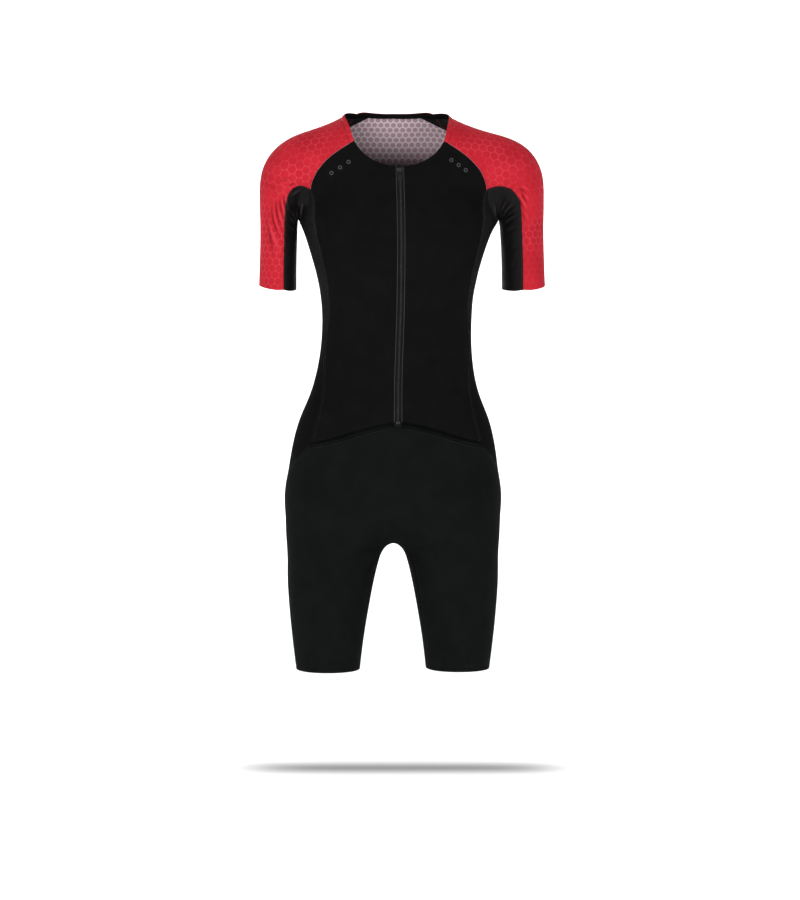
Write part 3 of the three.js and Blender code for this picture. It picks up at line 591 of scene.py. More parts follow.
# %% [markdown]
# A pattern on cloth follows the cloth, so each panel is laid flat. Unwrapping leaves the
# flat panel at any size and any angle, so it is scaled until its area is the cloth's own
# and turned until up on the flat is up on the suit. The flat then measures in metres.

# %% Lay each panel flat
def lay_flat(made):
    """Unwraps a panel and puts its map in metres, upright."""
    make_active(made)
    mesh = made.data
    mesh.uv_layers.new(name=CLOTH_MAP)
    bpy.ops.object.mode_set(mode="EDIT")
    bpy.ops.mesh.select_all(action="SELECT")
    bpy.ops.uv.unwrap(method="ANGLE_BASED", margin=0)
    bpy.ops.object.mode_set(mode="OBJECT")
    places = np.zeros(len(mesh.loops) * 2)
    mesh.uv_layers[CLOTH_MAP].data.foreach_get("uv", places)
    places = places.reshape(-1, 2)
    flat_area = 0
    true_area = 0
    for face in mesh.polygons:
        ring = places[list(face.loop_indices)]
        after = np.roll(ring, -1, axis=0)
        flat_area += abs(np.sum(ring[:, 0] * after[:, 1] - ring[:, 1] * after[:, 0])) / 2
        true_area += face.area
    places = (places - places.mean(axis=0)) * math.sqrt(true_area / flat_area)
    heights = np.array([mesh.vertices[loop.vertex_index].co.z for loop in mesh.loops])
    slope = np.linalg.lstsq(places, heights - heights.mean(), rcond=None)[0]
    turn = math.atan2(slope[0], slope[1])
    turned = places @ np.array(
        [[math.cos(turn), math.sin(turn)], [-math.sin(turn), math.cos(turn)]])
    mesh.uv_layers[CLOTH_MAP].data.foreach_set("uv", turned.ravel())
    size = turned.max(axis=0) - turned.min(axis=0)
    return [float(size[0]), float(size[1])], true_area


panel_objects = []
for panel in PANELS:
    made = as_object(panel.node, outer_face(panel.node))
    made.data.materials.append(bpy.data.materials.new(f"panel {panel.node}"))
    lay_flat(made)
    panel_objects.append(made)

# %% [markdown]
# The zip's middle line is where the two tapes all but meet. It is read off the two tape
# panels before they are joined, and everything on the zip is placed along it.

# %% Middle line of the zip
TAPES_MEET = 1.0 * MM
ZIP_STEP = 2 * MM
ACROSS = Vector((1, 0, 0))
ALONG = Vector((0, 1, 0))


def zip_middle():
    """Points midway between the tapes' meeting edges, from the bottom up."""
    right = bpy.data.objects["zip_tape_right"].data.vertices
    tree = KDTree(len(right))
    for number, vert in enumerate(right):
        tree.insert(vert.co, number)
    tree.balance()
    points = []
    for vert in bpy.data.objects["zip_tape_left"].data.vertices:
        near, number, gap = tree.find(vert.co)
        if gap < TAPES_MEET:
            points.append((vert.co + near) / 2)
    return sorted(points, key=lambda point: point.z)


ZIP_POINTS = zip_middle()


def on_zip(height):
    """A frame on the zip: its place, up along the zip, and out from the cloth."""
    heights = [point.z for point in ZIP_POINTS]
    middles = [
        Vector((
            float(np.interp(level, heights, [point.x for point in ZIP_POINTS])),
            float(np.interp(level, heights, [point.y for point in ZIP_POINTS])), level))
        for level in (height - ZIP_STEP, height, height + ZIP_STEP)]
    up = (middles[2] - middles[0]).normalized()
    out = ACROSS.cross(up).normalized()
    side = up.cross(out)
    placed = Matrix((side, up, out)).transposed().to_4x4()
    placed.translation = middles[1]
    return placed


print("zip runs from", round(ZIP_POINTS[0].z, 3), "to", round(ZIP_POINTS[-1].z, 3))

# %% [markdown]
# Sewn together, the panels share one smooth surface, so they are joined and subdivided
# as one, and only then cut apart again. Two panels smoothed on their own would part
# along the seam. A narrow strip's borders are held where they are, or smoothing would
# widen it.

# %% Sew and smooth
SEAM_REACH = 0.7 * MM
SEAM_HOLD = 0.4
NARROW = ("neckband", "waist_band", "zip_tape")
FINENESS = 3


def sewn(objects):
    """All panels as one mesh, welded along their seams."""
    with bpy.context.temp_override(
            active_object=objects[0], selected_editable_objects=objects,
            selected_objects=objects):
        bpy.ops.object.join()
    suit = objects[0]
    suit.name = "sewn suit"
    cloth = bmesh.new()
    cloth.from_mesh(suit.data)
    edges_before = sum(edge.calc_length() for edge in cloth.edges if edge.is_boundary)
    border = [vert for vert in cloth.verts if vert.is_boundary]
    bmesh.ops.remove_doubles(cloth, verts=border, dist=SEAM_REACH)
    narrow = [slot.name.removeprefix("panel ").startswith(NARROW)
              for slot in suit.data.materials]
    firmness = cloth.edges.layers.float.new("crease_edge")
    for edge in cloth.edges:
        panels = {face.material_index for face in edge.link_faces}
        if len(panels) > 1:
            edge[firmness] = 1 if any(narrow[panel] for panel in panels) else SEAM_HOLD
    edges_after = sum(edge.calc_length() for edge in cloth.edges if edge.is_boundary)
    print("raw edges", round(edges_before, 3), "m, left open", round(edges_after, 3), "m")
    cloth.to_mesh(suit.data)
    cloth.free()
    return suit


def finer(made, levels):
    """The same mesh after that many rounds of subdivision."""
    rounding = made.modifiers.new("rounding", "SUBSURF")
    rounding.levels = levels
    rounding.render_levels = levels
    shaped = made.evaluated_get(bpy.context.evaluated_depsgraph_get())
    mesh = bpy.data.meshes.new_from_object(shaped)
    made.modifiers.clear()
    made.data = mesh
    return made


suit = finer(sewn(panel_objects), FINENESS)
print("sewn suit:", len(suit.data.polygons), "cells")

# %% [markdown]
# Stretch cloth worn with no folds to spare still creases where a limb bends: under the
# arms, down the inner sleeve and across the waist. Creases that show are drawn where the
# picture shows them, so a line of sight from the camera has to find their place on the
# cloth. Those on the back are drawn by their own distance across and height.

# %% Lines of sight
IMAGE_WIDTH = 800
IMAGE_HEIGHT = 900
ZIP_FOOT_SEEN = (400, 420)
FOCUS = LENS / SENSOR_WIDTH * IMAGE_HEIGHT

camera_turn = camera.rotation_euler.to_matrix()
surface = BVHTree.FromObject(suit, bpy.context.evaluated_depsgraph_get())


def seen(column, row):
    """The place on the cloth that a pixel of the picture shows."""
    ray = camera_turn @ Vector(
        (column - IMAGE_WIDTH / 2, IMAGE_HEIGHT / 2 - row, -FOCUS))
    return surface.ray_cast(CAMERA_PLACE, ray.normalized())[0]


def from_behind(x, z):
    """The place on the back of the cloth at a distance across and a height."""
    return surface.ray_cast(Vector((x, 1, z)), Vector((0, -1, 0)))[0]


print("the zip's foot is seen at", seen(*ZIP_FOOT_SEEN))

# %% [markdown]
# Each crease has a start and an end, a sideways bow, the width and depth of its trough in
# millimetres, and its peak, which is the share of its length where it is deepest. They are
# drawn one by one, fanned out from the underarms, because a repeated pattern of folds would
# look like padding.

# %% Creases
Crease = namedtuple("Crease", "start end bow width depth peak")
SEEN_CREASES = [
    Crease((497, 219), (495, 197), 1, 1.7, 1.0, 0.35),
    Crease((499, 219), (500, 194), -1, 1.6, 1.0, 0.3),
    Crease((500, 219), (506, 195), -2, 1.7, 1.2, 0.35),
    Crease((501, 220), (512, 199), -2, 1.9, 1.4, 0.35),
    Crease((502, 221), (519, 203), -2, 2.0, 1.5, 0.35),
    Crease((503, 223), (520, 210), -2, 1.9, 1.3, 0.3),
    Crease((504, 226), (520, 217), -1, 1.9, 1.0, 0.3),
    Crease((505, 235), (519, 228), -1, 2.4, 0.7, 0.4),
    Crease((505, 252), (518, 244), 2, 3.0, 0.4, 0.5),
    Crease((506, 268), (518, 262), 2, 3.0, 0.5, 0.5),
    Crease((300, 221), (304, 199), 2, 1.8, 1.3, 0.4),
    Crease((298, 222), (297, 202), 1, 1.8, 1.3, 0.4),
    Crease((297, 223), (291, 206), 1, 1.8, 1.3, 0.4),
    Crease((296, 225), (289, 213), 1, 1.8, 1.1, 0.4),
    Crease((296, 231), (288, 222), 1, 2.2, 0.9, 0.4),
    Crease((303, 216), (311, 201), -2, 2.2, 1.0, 0.4),
    Crease((271, 197), (286, 246), 5, 2.4, 1.1, 0.45),
    Crease((276, 196), (287, 236), 4, 2.2, 1.2, 0.4),
    Crease((280, 194), (288, 224), 3, 2.0, 1.2, 0.4),
    Crease((284, 193), (290, 214), 2, 1.8, 1.1, 0.4),
    Crease((266, 208), (283, 262), 5, 3.0, 0.9, 0.5),
    Crease((269, 226), (282, 270), 4, 3.0, 0.6, 0.5),
    Crease((303, 186), (288, 196), 1, 2.0, 1.2, 0.5),
    Crease((300, 182), (284, 189), 1, 2.2, 0.9, 0.5),
    Crease((296, 177), (276, 184), 2, 2.6, 0.7, 0.5),
    Crease((262, 178), (283, 191), 2, 3.4, 0.6, 0.5),
    Crease((519, 196), (529, 214), 2, 2.0, 1.2, 0.35),
    Crease((521, 190), (532, 206), 2, 2.2, 1.1, 0.4),
    Crease((518, 186), (532, 195), 1, 2.4, 1.0, 0.4),
    Crease((521, 206), (531, 228), 2, 2.4, 0.8, 0.4),
    Crease((524, 228), (533, 256), 2, 3.0, 0.6, 0.5),
    Crease((455, 280), (471, 306), 2, 6.0, 0.4, 0.5),
    Crease((448, 384), (467, 396), 2, 6.0, 0.5, 0.5),
    Crease((345, 392), (322, 404), 2, 6.0, 0.5, 0.5),
    Crease((335, 372), (318, 380), 2, 6.0, 0.4, 0.5),
    Crease((352, 440), (378, 426), 2, 6.0, 0.4, 0.5),
    Crease((455, 436), (428, 425), 2, 6.0, 0.4, 0.5),
    Crease((380, 548), (352, 560), 2, 7.0, 0.5, 0.35),
    Crease((408, 546), (438, 556), -2, 7.0, 0.5, 0.35),
    Crease((377, 556), (361, 580), 2, 6.0, 0.4, 0.4),
    Crease((411, 554), (428, 580), -2, 6.0, 0.4, 0.4),
]
HIDDEN_CREASES = [
    Crease((0.146, -0.165), (0.134, -0.118), 4, 4.0, 1.3, 0.35),
    Crease((0.150, -0.167), (0.160, -0.122), -4, 4.0, 1.3, 0.35),
    Crease((0.154, -0.171), (0.182, -0.140), -4, 4.5, 1.2, 0.35),
    Crease((0.156, -0.180), (0.186, -0.162), -3, 4.0, 0.9, 0.4),
    Crease((0.186, -0.128), (0.196, -0.196), 5, 5.5, 0.8, 0.5),
    Crease((0.126, -0.150), (0.098, -0.190), 5, 7.0, 0.9, 0.4),
    Crease((-0.146, -0.165), (-0.135, -0.120), -4, 4.0, 1.2, 0.35),
    Crease((-0.149, -0.167), (-0.158, -0.124), 4, 3.8, 1.4, 0.4),
    Crease((-0.152, -0.171), (-0.176, -0.142), 4, 4.5, 1.1, 0.35),
    Crease((-0.154, -0.180), (-0.180, -0.166), 3, 4.0, 0.8, 0.4),
    Crease((-0.180, -0.130), (-0.188, -0.205), -5, 5.5, 0.9, 0.5),
    Crease((-0.125, -0.152), (-0.094, -0.196), -5, 7.0, 1.0, 0.4),
    Crease((-0.100, -0.385), (-0.030, -0.372), -6, 9.0, 0.9, 0.4),
    Crease((0.098, -0.400), (0.022, -0.392), 6, 9.0, 1.0, 0.45),
    Crease((-0.070, -0.412), (0.040, -0.418), 5, 8.0, 0.8, 0.5),
    Crease((0.088, -0.435), (0.035, -0.440), 4, 8.0, 0.7, 0.5),
    Crease((0.010, -0.640), (0.080, -0.612), -8, 8.0, 1.2, 0.35),
    Crease((-0.018, -0.640), (-0.086, -0.616), 8, 8.0, 1.1, 0.35),
    Crease((0.022, -0.662), (0.092, -0.668), -5, 7.0, 0.8, 0.35),
    Crease((-0.032, -0.660), (-0.098, -0.674), 5, 7.0, 0.9, 0.35),
]
print("creases drawn:", len(SEEN_CREASES) + len(HIDDEN_CREASES))

# %% [markdown]
# A crease is a soft trough with a low ridge on one side. Its line is laid on the cloth
# first, and then every place near the line moves along its own normal. The places are
# moved all at once as arrays, since a loop over them would take minutes.

# %% Press a crease
CREASE_STEPS = 9
CREASE_GAIN = 1.6
CREASE_REACH = 4
CREASE_FADE = 1.5
RIDGE_SHARE = 0.45
RIDGE_AWAY = 1.9
RIDGE_WIDTH = 1.2


def crease_line(crease, place_of, unit):
    """Points on the cloth along a crease, bowed sideways in the view it is drawn in."""
    start, end = Vector(crease.start), Vector(crease.end)
    run = end - start
    sideways = Vector((-run.y, run.x)).normalized()
    points = []
    for step in range(CREASE_STEPS):
        share = step / (CREASE_STEPS - 1)
        bow = crease.bow * unit * 4 * share * (1 - share)
        spot = place_of(*(start + run * share + sideways * bow))
        if spot is not None:
            points.append(spot)
    return np.array(points)


def press(places, normals, crease, line):
    """How far one crease pushes each place out along its normal, in metres."""
    width = crease.width * MM
    reach = CREASE_REACH * width
    low, high = line.min(axis=0) - reach, line.max(axis=0) + reach
    close = np.all((places > low) & (places < high), axis=1)
    near = places[close]
    begin, run = line[:-1], np.diff(line, axis=0)
    steps = near[:, None, :] - begin[None, :, :]
    share = np.clip(np.sum(steps * run, axis=2) / np.sum(run * run, axis=1), 0, 1)
    off = steps - share[:, :, None] * run[None, :, :]
    gaps = np.linalg.norm(off, axis=2)
    best = np.argmin(gaps, axis=1)
    row = np.arange(len(best))
    along = (best + share[row, best]) / len(run)
    side = np.sum(np.cross(normals[close], run[best]) * off[row, best], axis=1)
    signed = np.sign(side) * gaps[row, best]
    power = math.log(0.5) / math.log(crease.peak)
    strength = np.sin(math.pi * along ** power) ** CREASE_FADE
    trough = -np.exp(-((signed / width) ** 2))
    past_ridge = (signed - RIDGE_AWAY * width) / (RIDGE_WIDTH * width)
    ridge = RIDGE_SHARE * np.exp(-(past_ridge ** 2))
    pushed = np.zeros(len(places))
    pushed[close] = crease.depth * CREASE_GAIN * MM * strength * (trough + ridge)
    return pushed


def cloth_arrays(mesh):
    """The mesh's places and normals as arrays."""
    places = np.zeros(len(mesh.vertices) * 3)
    normals = np.zeros(len(mesh.vertices) * 3)
    mesh.vertices.foreach_get("co", places)
    mesh.vertices.foreach_get("normal", normals)
    return places.reshape(-1, 3), normals.reshape(-1, 3)


creases = [(crease, crease_line(crease, seen, 1)) for crease in SEEN_CREASES]
creases += [(crease, crease_line(crease, from_behind, MM)) for crease in HIDDEN_CREASES]
print("points on the shortest crease:", min(len(line) for crease, line in creases))

# %% [markdown]
# The cells of the cloth are two to four millimetres wide, and the creases under the arms
# are narrower than that. Dividing the whole suit again would make it far too heavy, so
# only the cells near a narrow crease are divided. How far each place is pushed is also
# kept on the mesh, where the finishes read it to paint shade into the troughs and a
# highlight onto the ridges.

# %% Crease the cloth
FINE_WIDTH = 3.0
FINE_REACH = 5.5 * MM
FINE_CUTS = 2


def divided_near(made, lines):
    """Divides the mesh again near the narrow creases, which its cells are too wide for."""
    marks = [mark for line in lines for mark in line]
    tree = KDTree(len(marks))
    for number, mark in enumerate(marks):
        tree.insert(mark, number)
    tree.balance()
    cloth = bmesh.new()
    cloth.from_mesh(made.data)
    near = {vert for vert in cloth.verts if tree.find(vert.co)[2] < FINE_REACH}
    edges = [edge for edge in cloth.edges if near.issuperset(edge.verts)]
    bmesh.ops.subdivide_edges(cloth, edges=edges, cuts=FINE_CUTS, use_grid_fill=True)
    cloth.to_mesh(made.data)
    cloth.free()


divided_near(suit, [line for crease, line in creases if crease.width < FINE_WIDTH])
places, normals = cloth_arrays(suit.data)
pushed = np.zeros(len(places))
for crease, line in creases:
    pushed += press(places, normals, crease, line)
shading = suit.data.attributes.new(CREASE_MAP, "FLOAT", "POINT")
shading.data.foreach_set("value", pushed / MM)
print("cells with the creases", len(suit.data.polygons))
print("deepest", round(-pushed.min() / MM, 2), "mm, highest", round(pushed.max() / MM, 2))

# %% [markdown]
# A sewn seam pulls the cloth down a little on both sides of the thread. The fine mesh
# knows which faces belong to which panel, so the seam is wherever two panels share a
# vertex, and the cloth sinks towards it over a couple of millimetres.

# %% Seams
SEAM_DEPTH = 0.55 * MM
SEAM_WIDTH = 1.7 * MM

mesh = suit.data
loop_verts = np.zeros(len(mesh.loops), dtype=np.int32)
loop_edges = np.zeros(len(mesh.loops), dtype=np.int32)
mesh.loops.foreach_get("vertex_index", loop_verts)
mesh.loops.foreach_get("edge_index", loop_edges)
face_panel = np.zeros(len(mesh.polygons), dtype=np.int32)
face_corners = np.zeros(len(mesh.polygons), dtype=np.int32)
mesh.polygons.foreach_get("material_index", face_panel)
mesh.polygons.foreach_get("loop_total", face_corners)
loop_panel = np.repeat(face_panel, face_corners)


def lowest_and_highest(indices, count):
    """For each vertex or edge, the lowest and highest panel number that uses it."""
    low = np.full(count, len(PANELS))
    high = np.full(count, -1)
    np.minimum.at(low, indices, loop_panel)
    np.maximum.at(high, indices, loop_panel)
    return low, high


vert_low, vert_high = lowest_and_highest(loop_verts, len(mesh.vertices))
edge_low, edge_high = lowest_and_highest(loop_edges, len(mesh.edges))
seam_verts = np.nonzero(vert_low < vert_high)[0]
tree = KDTree(len(seam_verts))
for number in seam_verts:
    tree.insert(places[number], int(number))
tree.balance()
from_seam = np.array([tree.find(place)[2] for place in places])
pushed -= SEAM_DEPTH * np.exp(-((from_seam / SEAM_WIDTH) ** 2))
places += normals * pushed[:, None]
mesh.vertices.foreach_set("co", places.ravel())
mesh.update()
print("seam vertices", len(seam_verts))

# %% [markdown]
# Threads and edges need each seam as a line. The edges that two named panels share are
# walked from one end to the other.

# %% Seam lines
edge_ends = np.zeros(len(mesh.edges) * 2, dtype=np.int32)
mesh.edges.foreach_get("vertices", edge_ends)
edge_ends = edge_ends.reshape(-1, 2)
panel_names = [slot.name.removeprefix("panel ") for slot in mesh.materials]
surface = BVHTree.FromObject(suit, bpy.context.evaluated_depsgraph_get())


def seam_line(first, second):
    """The seam between two panels, as a run of points on the cloth."""
    low, high = sorted((panel_names.index(first), panel_names.index(second)))
    shared = np.nonzero((edge_low == low) & (edge_high == high))[0]
    neighbours = {}
    for a, b in edge_ends[shared]:
        neighbours.setdefault(int(a), []).append(int(b))
        neighbours.setdefault(int(b), []).append(int(a))
    runs = []
    while neighbours:
        ends = [vert for vert, others in neighbours.items() if len(others) == 1]
        here = max(ends or neighbours, key=lambda vert: places[vert][2])
        run = [here]
        while neighbours.get(here):
            after = neighbours[here].pop()
            neighbours[after].remove(here)
            if not neighbours[here]:
                del neighbours[here]
            here = after
            run.append(here)
        neighbours.pop(here, None)
        runs.append([Vector(places[vert]) for vert in run])
    return max(runs, key=len)


def evenly(line, pitch):
    """Places along a line a pitch apart, each with the way the line runs there."""
    lengths = [0]
    for before, after in zip(line, line[1:]):
        lengths.append(lengths[-1] + (after - before).length)
    count = max(2, int(lengths[-1] / pitch))
    columns = [[point[axis] for point in line] for axis in range(3)]
    marks = np.linspace(0, lengths[-1], count)
    spots = [
        Vector([float(np.interp(mark, lengths, column)) for column in columns])
        for mark in marks]
    ways = [
        (spots[min(at + 1, count - 1)] - spots[max(at - 1, 0)]).normalized()
        for at in range(count)]
    return list(zip(spots, ways))


print("front raglan seam", len(seam_line("front_bodice_left", "sleeve_left")), "points")

# %% [markdown]
# The threads are a flatlock: on each side of a seam a row of short stitches lies on the
# cloth. One stitch is a small bead of few faces, made once and repeated. Each seam's
# stitches are one piece, in the thread that the real one has.

# %% Threads
STITCH = (0.42, 2.3, 0.3)
STITCH_PITCH = 3.1 * MM
STITCH_OFFSET = 1.9 * MM


def bead(size):
    """A small long bead of few faces, for what is repeated hundreds of times."""
    shape = bmesh.new()
    bmesh.ops.create_icosphere(shape, subdivisions=1, radius=0.5)
    bmesh.ops.scale(shape, vec=[side * MM for side in size], verts=shape.verts)
    return shape


def placed_at(name, shapes, matrices):
    """One object of small shapes, all of them copied to every place in a list."""
    whole = bmesh.new()
    for shape in shapes:
        part = bpy.data.meshes.new("part")
        shape.to_mesh(part)
        shape.free()
        for matrix in matrices:
            copied = part.copy()
            copied.transform(matrix)
            whole.from_mesh(copied)
            bpy.data.meshes.remove(copied)
        bpy.data.meshes.remove(part)
    return as_object(name, whole)


def on_cloth(spot, way):
    """A frame on the cloth: across, along the way given, and out from the cloth."""
    place, out = surface.find_nearest(spot)[:2]
    across = way.cross(out).normalized()
    placed = Matrix((across, out.cross(across), out)).transposed().to_4x4()
    placed.translation = place
    return placed


def stitch_rows(first, second):
    """Where the stitches of one seam lie."""
    frames = []
    for spot, way in evenly(seam_line(first, second), STITCH_PITCH)[1:-1]:
        here = on_cloth(spot, way)
        across = here.to_3x3() @ ACROSS
        for side in (-1, 1):
            frames.append(on_cloth(spot + across * side * STITCH_OFFSET, way))
    return frames


SEAMS = {
    "raglan_back": ("red", [("back_bodice", "sleeve_{}")]),
    "side_front": ("black", [("front_bodice_{}", "side_panel_{}")]),
    "side_back": ("black", [("back_bodice", "side_panel_{}")]),
    "sleeve_seams": ("black", [("sleeve_{}", "underarm_{}")]),
    "waist_front": ("black", [("waist_band_{}", "shorts_front")]),
    "waist_back": ("black", [("back_bodice", "shorts_back_{}")]),
    "hips": ("black", [("side_panel_{}", "shorts_front"),
                       ("side_panel_{}", "shorts_back_{}")]),
    "shorts_side": ("black", [("shorts_front", "shorts_back_{}")]),
    "inner_leg": ("black", [("shorts_front", "inner_leg_gusset"),
                            ("shorts_back_{}", "inner_leg_gusset")]),
}
STITCHES = []
for name, (thread, pairs) in SEAMS.items():
    for hand in ("left", "right"):
        frames = []
        for first, second in pairs:
            frames += stitch_rows(first.format(hand), second.format(hand))
        made = placed_at(f"stitches_{name}_{hand}", [bead(STITCH)], frames)
        STITCHES.append((thread, made))
STITCHES.append(("black", placed_at(
    "stitches_centre_back", [bead(STITCH)],
    stitch_rows("shorts_back_left", "shorts_back_right"))))
print("stitch faces", sum(len(made.data.polygons) for thread, made in STITCHES))

# %% [markdown]
# Where red meets black on the chest, the red panel's cut edge shows as one thin pale
# line, and the woven edge of each zip tape shows as a grey one. Both are fine cords laid
# along their seams. A curve with a round bevel makes the rod, and the pull's wire is made
# the same way later.

# %% Cut edge and tape edges
EDGE_RADIUS = 0.35 * MM
EDGE_PITCH = 4 * MM
EDGE_ROUNDNESS = 2
TAPE_EDGE_RADIUS = 0.4 * MM
TAPE_EDGE_LIFT = 0.15 * MM


def round_rod(name, points, radius, roundness, closed=False):
    """The mesh of a round rod through points: a closed ring, or with closed ends."""
    curve = bpy.data.curves.new(name, "CURVE")
    curve.dimensions = "3D"
    curve.bevel_depth = radius
    curve.bevel_resolution = roundness
    curve.use_fill_caps = not closed
    spline = curve.splines.new("POLY")
    spline.use_cyclic_u = closed
    spline.points.add(len(points) - 1)
    for place, point in zip(spline.points, points):
        place.co = (*point, 1)
    drawn = bpy.data.objects.new(name, curve)
    bpy.context.scene.collection.objects.link(drawn)
    mesh = bpy.data.meshes.new_from_object(drawn)
    bpy.data.objects.remove(drawn)
    return mesh


def cord_along(name, line, radius, lift=0.0):
    """A thin round cord along a line on the cloth."""
    frames = [on_cloth(spot, way) for spot, way in evenly(line, EDGE_PITCH)]
    points = [here @ Vector((0, 0, lift)) for here in frames]
    cord = bpy.data.objects.new(name, round_rod(name, points, radius, EDGE_ROUNDNESS))
    bpy.context.scene.collection.objects.link(cord)
    return cord


PALE_EDGES = [
    cord_along(
        f"pale_edge_{hand}", seam_line(f"front_bodice_{hand}", f"sleeve_{hand}"),
        EDGE_RADIUS)
    for hand in ("left", "right")]
TAPE_EDGES = [
    cord_along(
        f"tape_edge_{hand}", seam_line(f"front_bodice_{hand}", f"zip_tape_{hand}"),
        TAPE_EDGE_RADIUS, TAPE_EDGE_LIFT)
    for hand in ("left", "right")]
print("edges", len(PALE_EDGES), "and", len(TAPE_EDGES))

# %% [markdown]
# Now the suit is cut back into its panels, and each gets its thickness inwards, with the
# cloth's reverse on the inside. The neckbands show a pale cut rim. The panels stand for
# the packed ones, which stay for collision.

# %% Cut into panels
CLOTH_THICKNESS = 1.0 * MM
PALE_RIM_PLACE = 2


def cut_apart(made):
    """One object for each panel, by the material slot that each face has."""
    make_active(made)
    bpy.ops.object.mode_set(mode="EDIT")
    bpy.ops.mesh.select_all(action="SELECT")
    bpy.ops.mesh.separate(type="MATERIAL")
    bpy.ops.object.mode_set(mode="OBJECT")
    return list(bpy.context.selected_objects)


def give_thickness(made, thickness, rim=0):
    wall = made.modifiers.new("thickness", "SOLIDIFY")
    wall.thickness = thickness
    wall.offset = -1
    wall.material_offset = 1
    wall.material_offset_rim = rim


by_node = {panel.node: panel for panel in PANELS}
for made in cut_apart(suit):
    used = made.data.polygons[0].material_index
    panel = by_node[made.data.materials[used].name.removeprefix("panel ")]
    made.data.materials.clear()
    made.data.materials.append(panel.outside)
    made.data.materials.append(panel.inside)
    made.data.polygons.foreach_set("material_index", [0] * len(made.data.polygons))
    made.data.shade_smooth()
    made.name = f"{panel.node}_cloth"
    made.data.name = made.name
    if panel.node.startswith("neckband"):
        made.data.materials.append(PALE_RIM)
        give_thickness(made, CLOTH_THICKNESS, rim=PALE_RIM_PLACE)
    else:
        give_thickness(made, CLOTH_THICKNESS)
    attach(made, "suit")
    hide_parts(panel.node)

# %% [markdown]
# The facing inside the back neck is a narrow tape that shows through the neck opening.
# It lies inside the back panel, so it is no part of the sewn surface and is thickened on
# its own. It sits a little lower than the neck edge, which shows above it as a thin line.

# %% Facing inside the back neck
FACING_DROP = 1.4 * MM
FACING_THICKNESS = 0.7 * MM
FACING_FINENESS = 2

facing = as_object("back_neck_facing_cloth", outer_face("back_neck_facing"))
lay_flat(facing)
finer(facing, FACING_FINENESS)
facing.data.transform(Matrix.Translation((0, 0, -FACING_DROP)))
facing.data.materials.append(BLACK)
facing.data.materials.append(BLACK)
facing.data.shade_smooth()
give_thickness(facing, FACING_THICKNESS)
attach(facing, "suit")
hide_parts("back_neck_facing")
print("facing cells", len(facing.data.polygons))

# %% [markdown]
# A maker cuts each panel from flat cloth. Neckbands, waist bands, tapes and facing are
# narrow strips that go with the panel beside them. All of it is held stretched by the body
# inside. The loop below only passes over the panels that are not narrow strips.

for panel in PANELS:
    if panel.node.startswith(NARROW):
        continue
    hand = panel.node.rsplit("_", 1)[-1]
    panel.node == "back_bodice"

# %% [markdown]
# The hard pieces are dark metal for the slider, stop and wire, and moulded plastic on the
# pull. Thread is neither smooth nor fuzzy, so it has a fine twist and a little sheen. The
# tones of the threads follow the cloth that they lie on.

# %% Metal, plastic and thread
def dark_metal():
    finish = Finish("dark zip metal", roughness=0.42, metallic=0.9)
    wear_and_highlight = finish.noise(finish.solid_place(), scale=900, detail=3)
    finish.colour(finish.blend(tone("2c2d30"), tone("55565b"), wear_and_highlight.ramp(0.4, 0.75)))
    finish.relief(wear_and_highlight, depth=0.05 * MM, strength=0.5)
    finish.roughen(0.38 + 0.2 * wear_and_highlight)
    return finish.material


def moulded_plastic():
    finish = Finish("moulded pull plastic", roughness=0.5, specular=0.25)
    grain = finish.noise(finish.solid_place(), scale=2200, detail=3)
    finish.colour(finish.blend(tone("080808"), tone("111111"), grain.ramp(0.4, 0.7)))
    finish.relief(grain, depth=0.06 * MM, strength=0.6)
    finish.roughen(0.42 + 0.2 * grain)
    return finish.material


def thread_finish(name, deep, light):
    finish = Finish(name, roughness=0.6, sheen=0.2)
    twist = finish.noise(finish.solid_place(), scale=1800, detail=2)
    finish.colour(finish.blend(tone(deep), tone(light), twist.ramp(0.35, 0.65)))
    finish.relief(twist, depth=0.05 * MM, strength=0.6)
    return finish.material


METAL = dark_metal()
PLASTIC = moulded_plastic()
BLACK_THREAD = thread_finish("black thread", "080808", "151516")
RED_THREAD = thread_finish("red thread", "b8242f", "d63a48")
PALE_THREAD = thread_finish("pale cut edge", "8a4448", "ac6468")
GREY_THREAD = thread_finish("grey tape edge", "222223", "2f2f30")
TEETH = thread_finish("zip coil", "1f1f20", "343435")
print("finishes in all:", len(bpy.data.materials))

# %% [markdown]
# Every added piece says what it rides on and which packed solids it stands for. Threads
# and edges stand for none: they only ride on the suit.

# %% Dress the threads and edges
def finished(made, body, material, slot, *nodes):
    """Dresses a piece and says what it rides on and stands for."""
    made.data.materials.append(material)
    made.data.shade_smooth()
    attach(made, body)
    if nodes:
        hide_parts(*nodes)
    return made


for thread, made in STITCHES:
    if thread == "red":
        finished(made, "suit", RED_THREAD, "red_knit")
    else:
        finished(made, "suit", BLACK_THREAD, "black_knit")
for made in PALE_EDGES:
    finished(made, "suit", PALE_THREAD, "red_knit")
for made in TAPE_EDGES:
    finished(made, "suit", GREY_THREAD, "zip_tape")
print("thread pieces", len(STITCHES) + len(PALE_EDGES) + len(TAPE_EDGES))

# %% [markdown]
# The zip is a closed coil: two rows of small loops that lock between each other. One
# loop is made once and repeated up the zip, left and right in turn.

# %% Zip coil
COIL_PITCH = 1.3 * MM
COIL_LOOP = (2.1, 0.62, 0.5)
COIL_STEP = 0.75 * MM
COIL_LIFT = 0.2 * MM
SLIDER_HEIGHT = -0.089
STOP_HEIGHT = -0.4695


def coil_places():
    frames = []
    height = STOP_HEIGHT
    hand = 1
    while height < SLIDER_HEIGHT:
        middle = on_zip(height)
        laid = on_cloth(middle.translation, middle.to_3x3() @ ALONG)
        frames.append(laid @ Matrix.Translation((hand * COIL_STEP, 0, COIL_LIFT)))
        hand = -hand
        height += COIL_PITCH / 2
    return frames


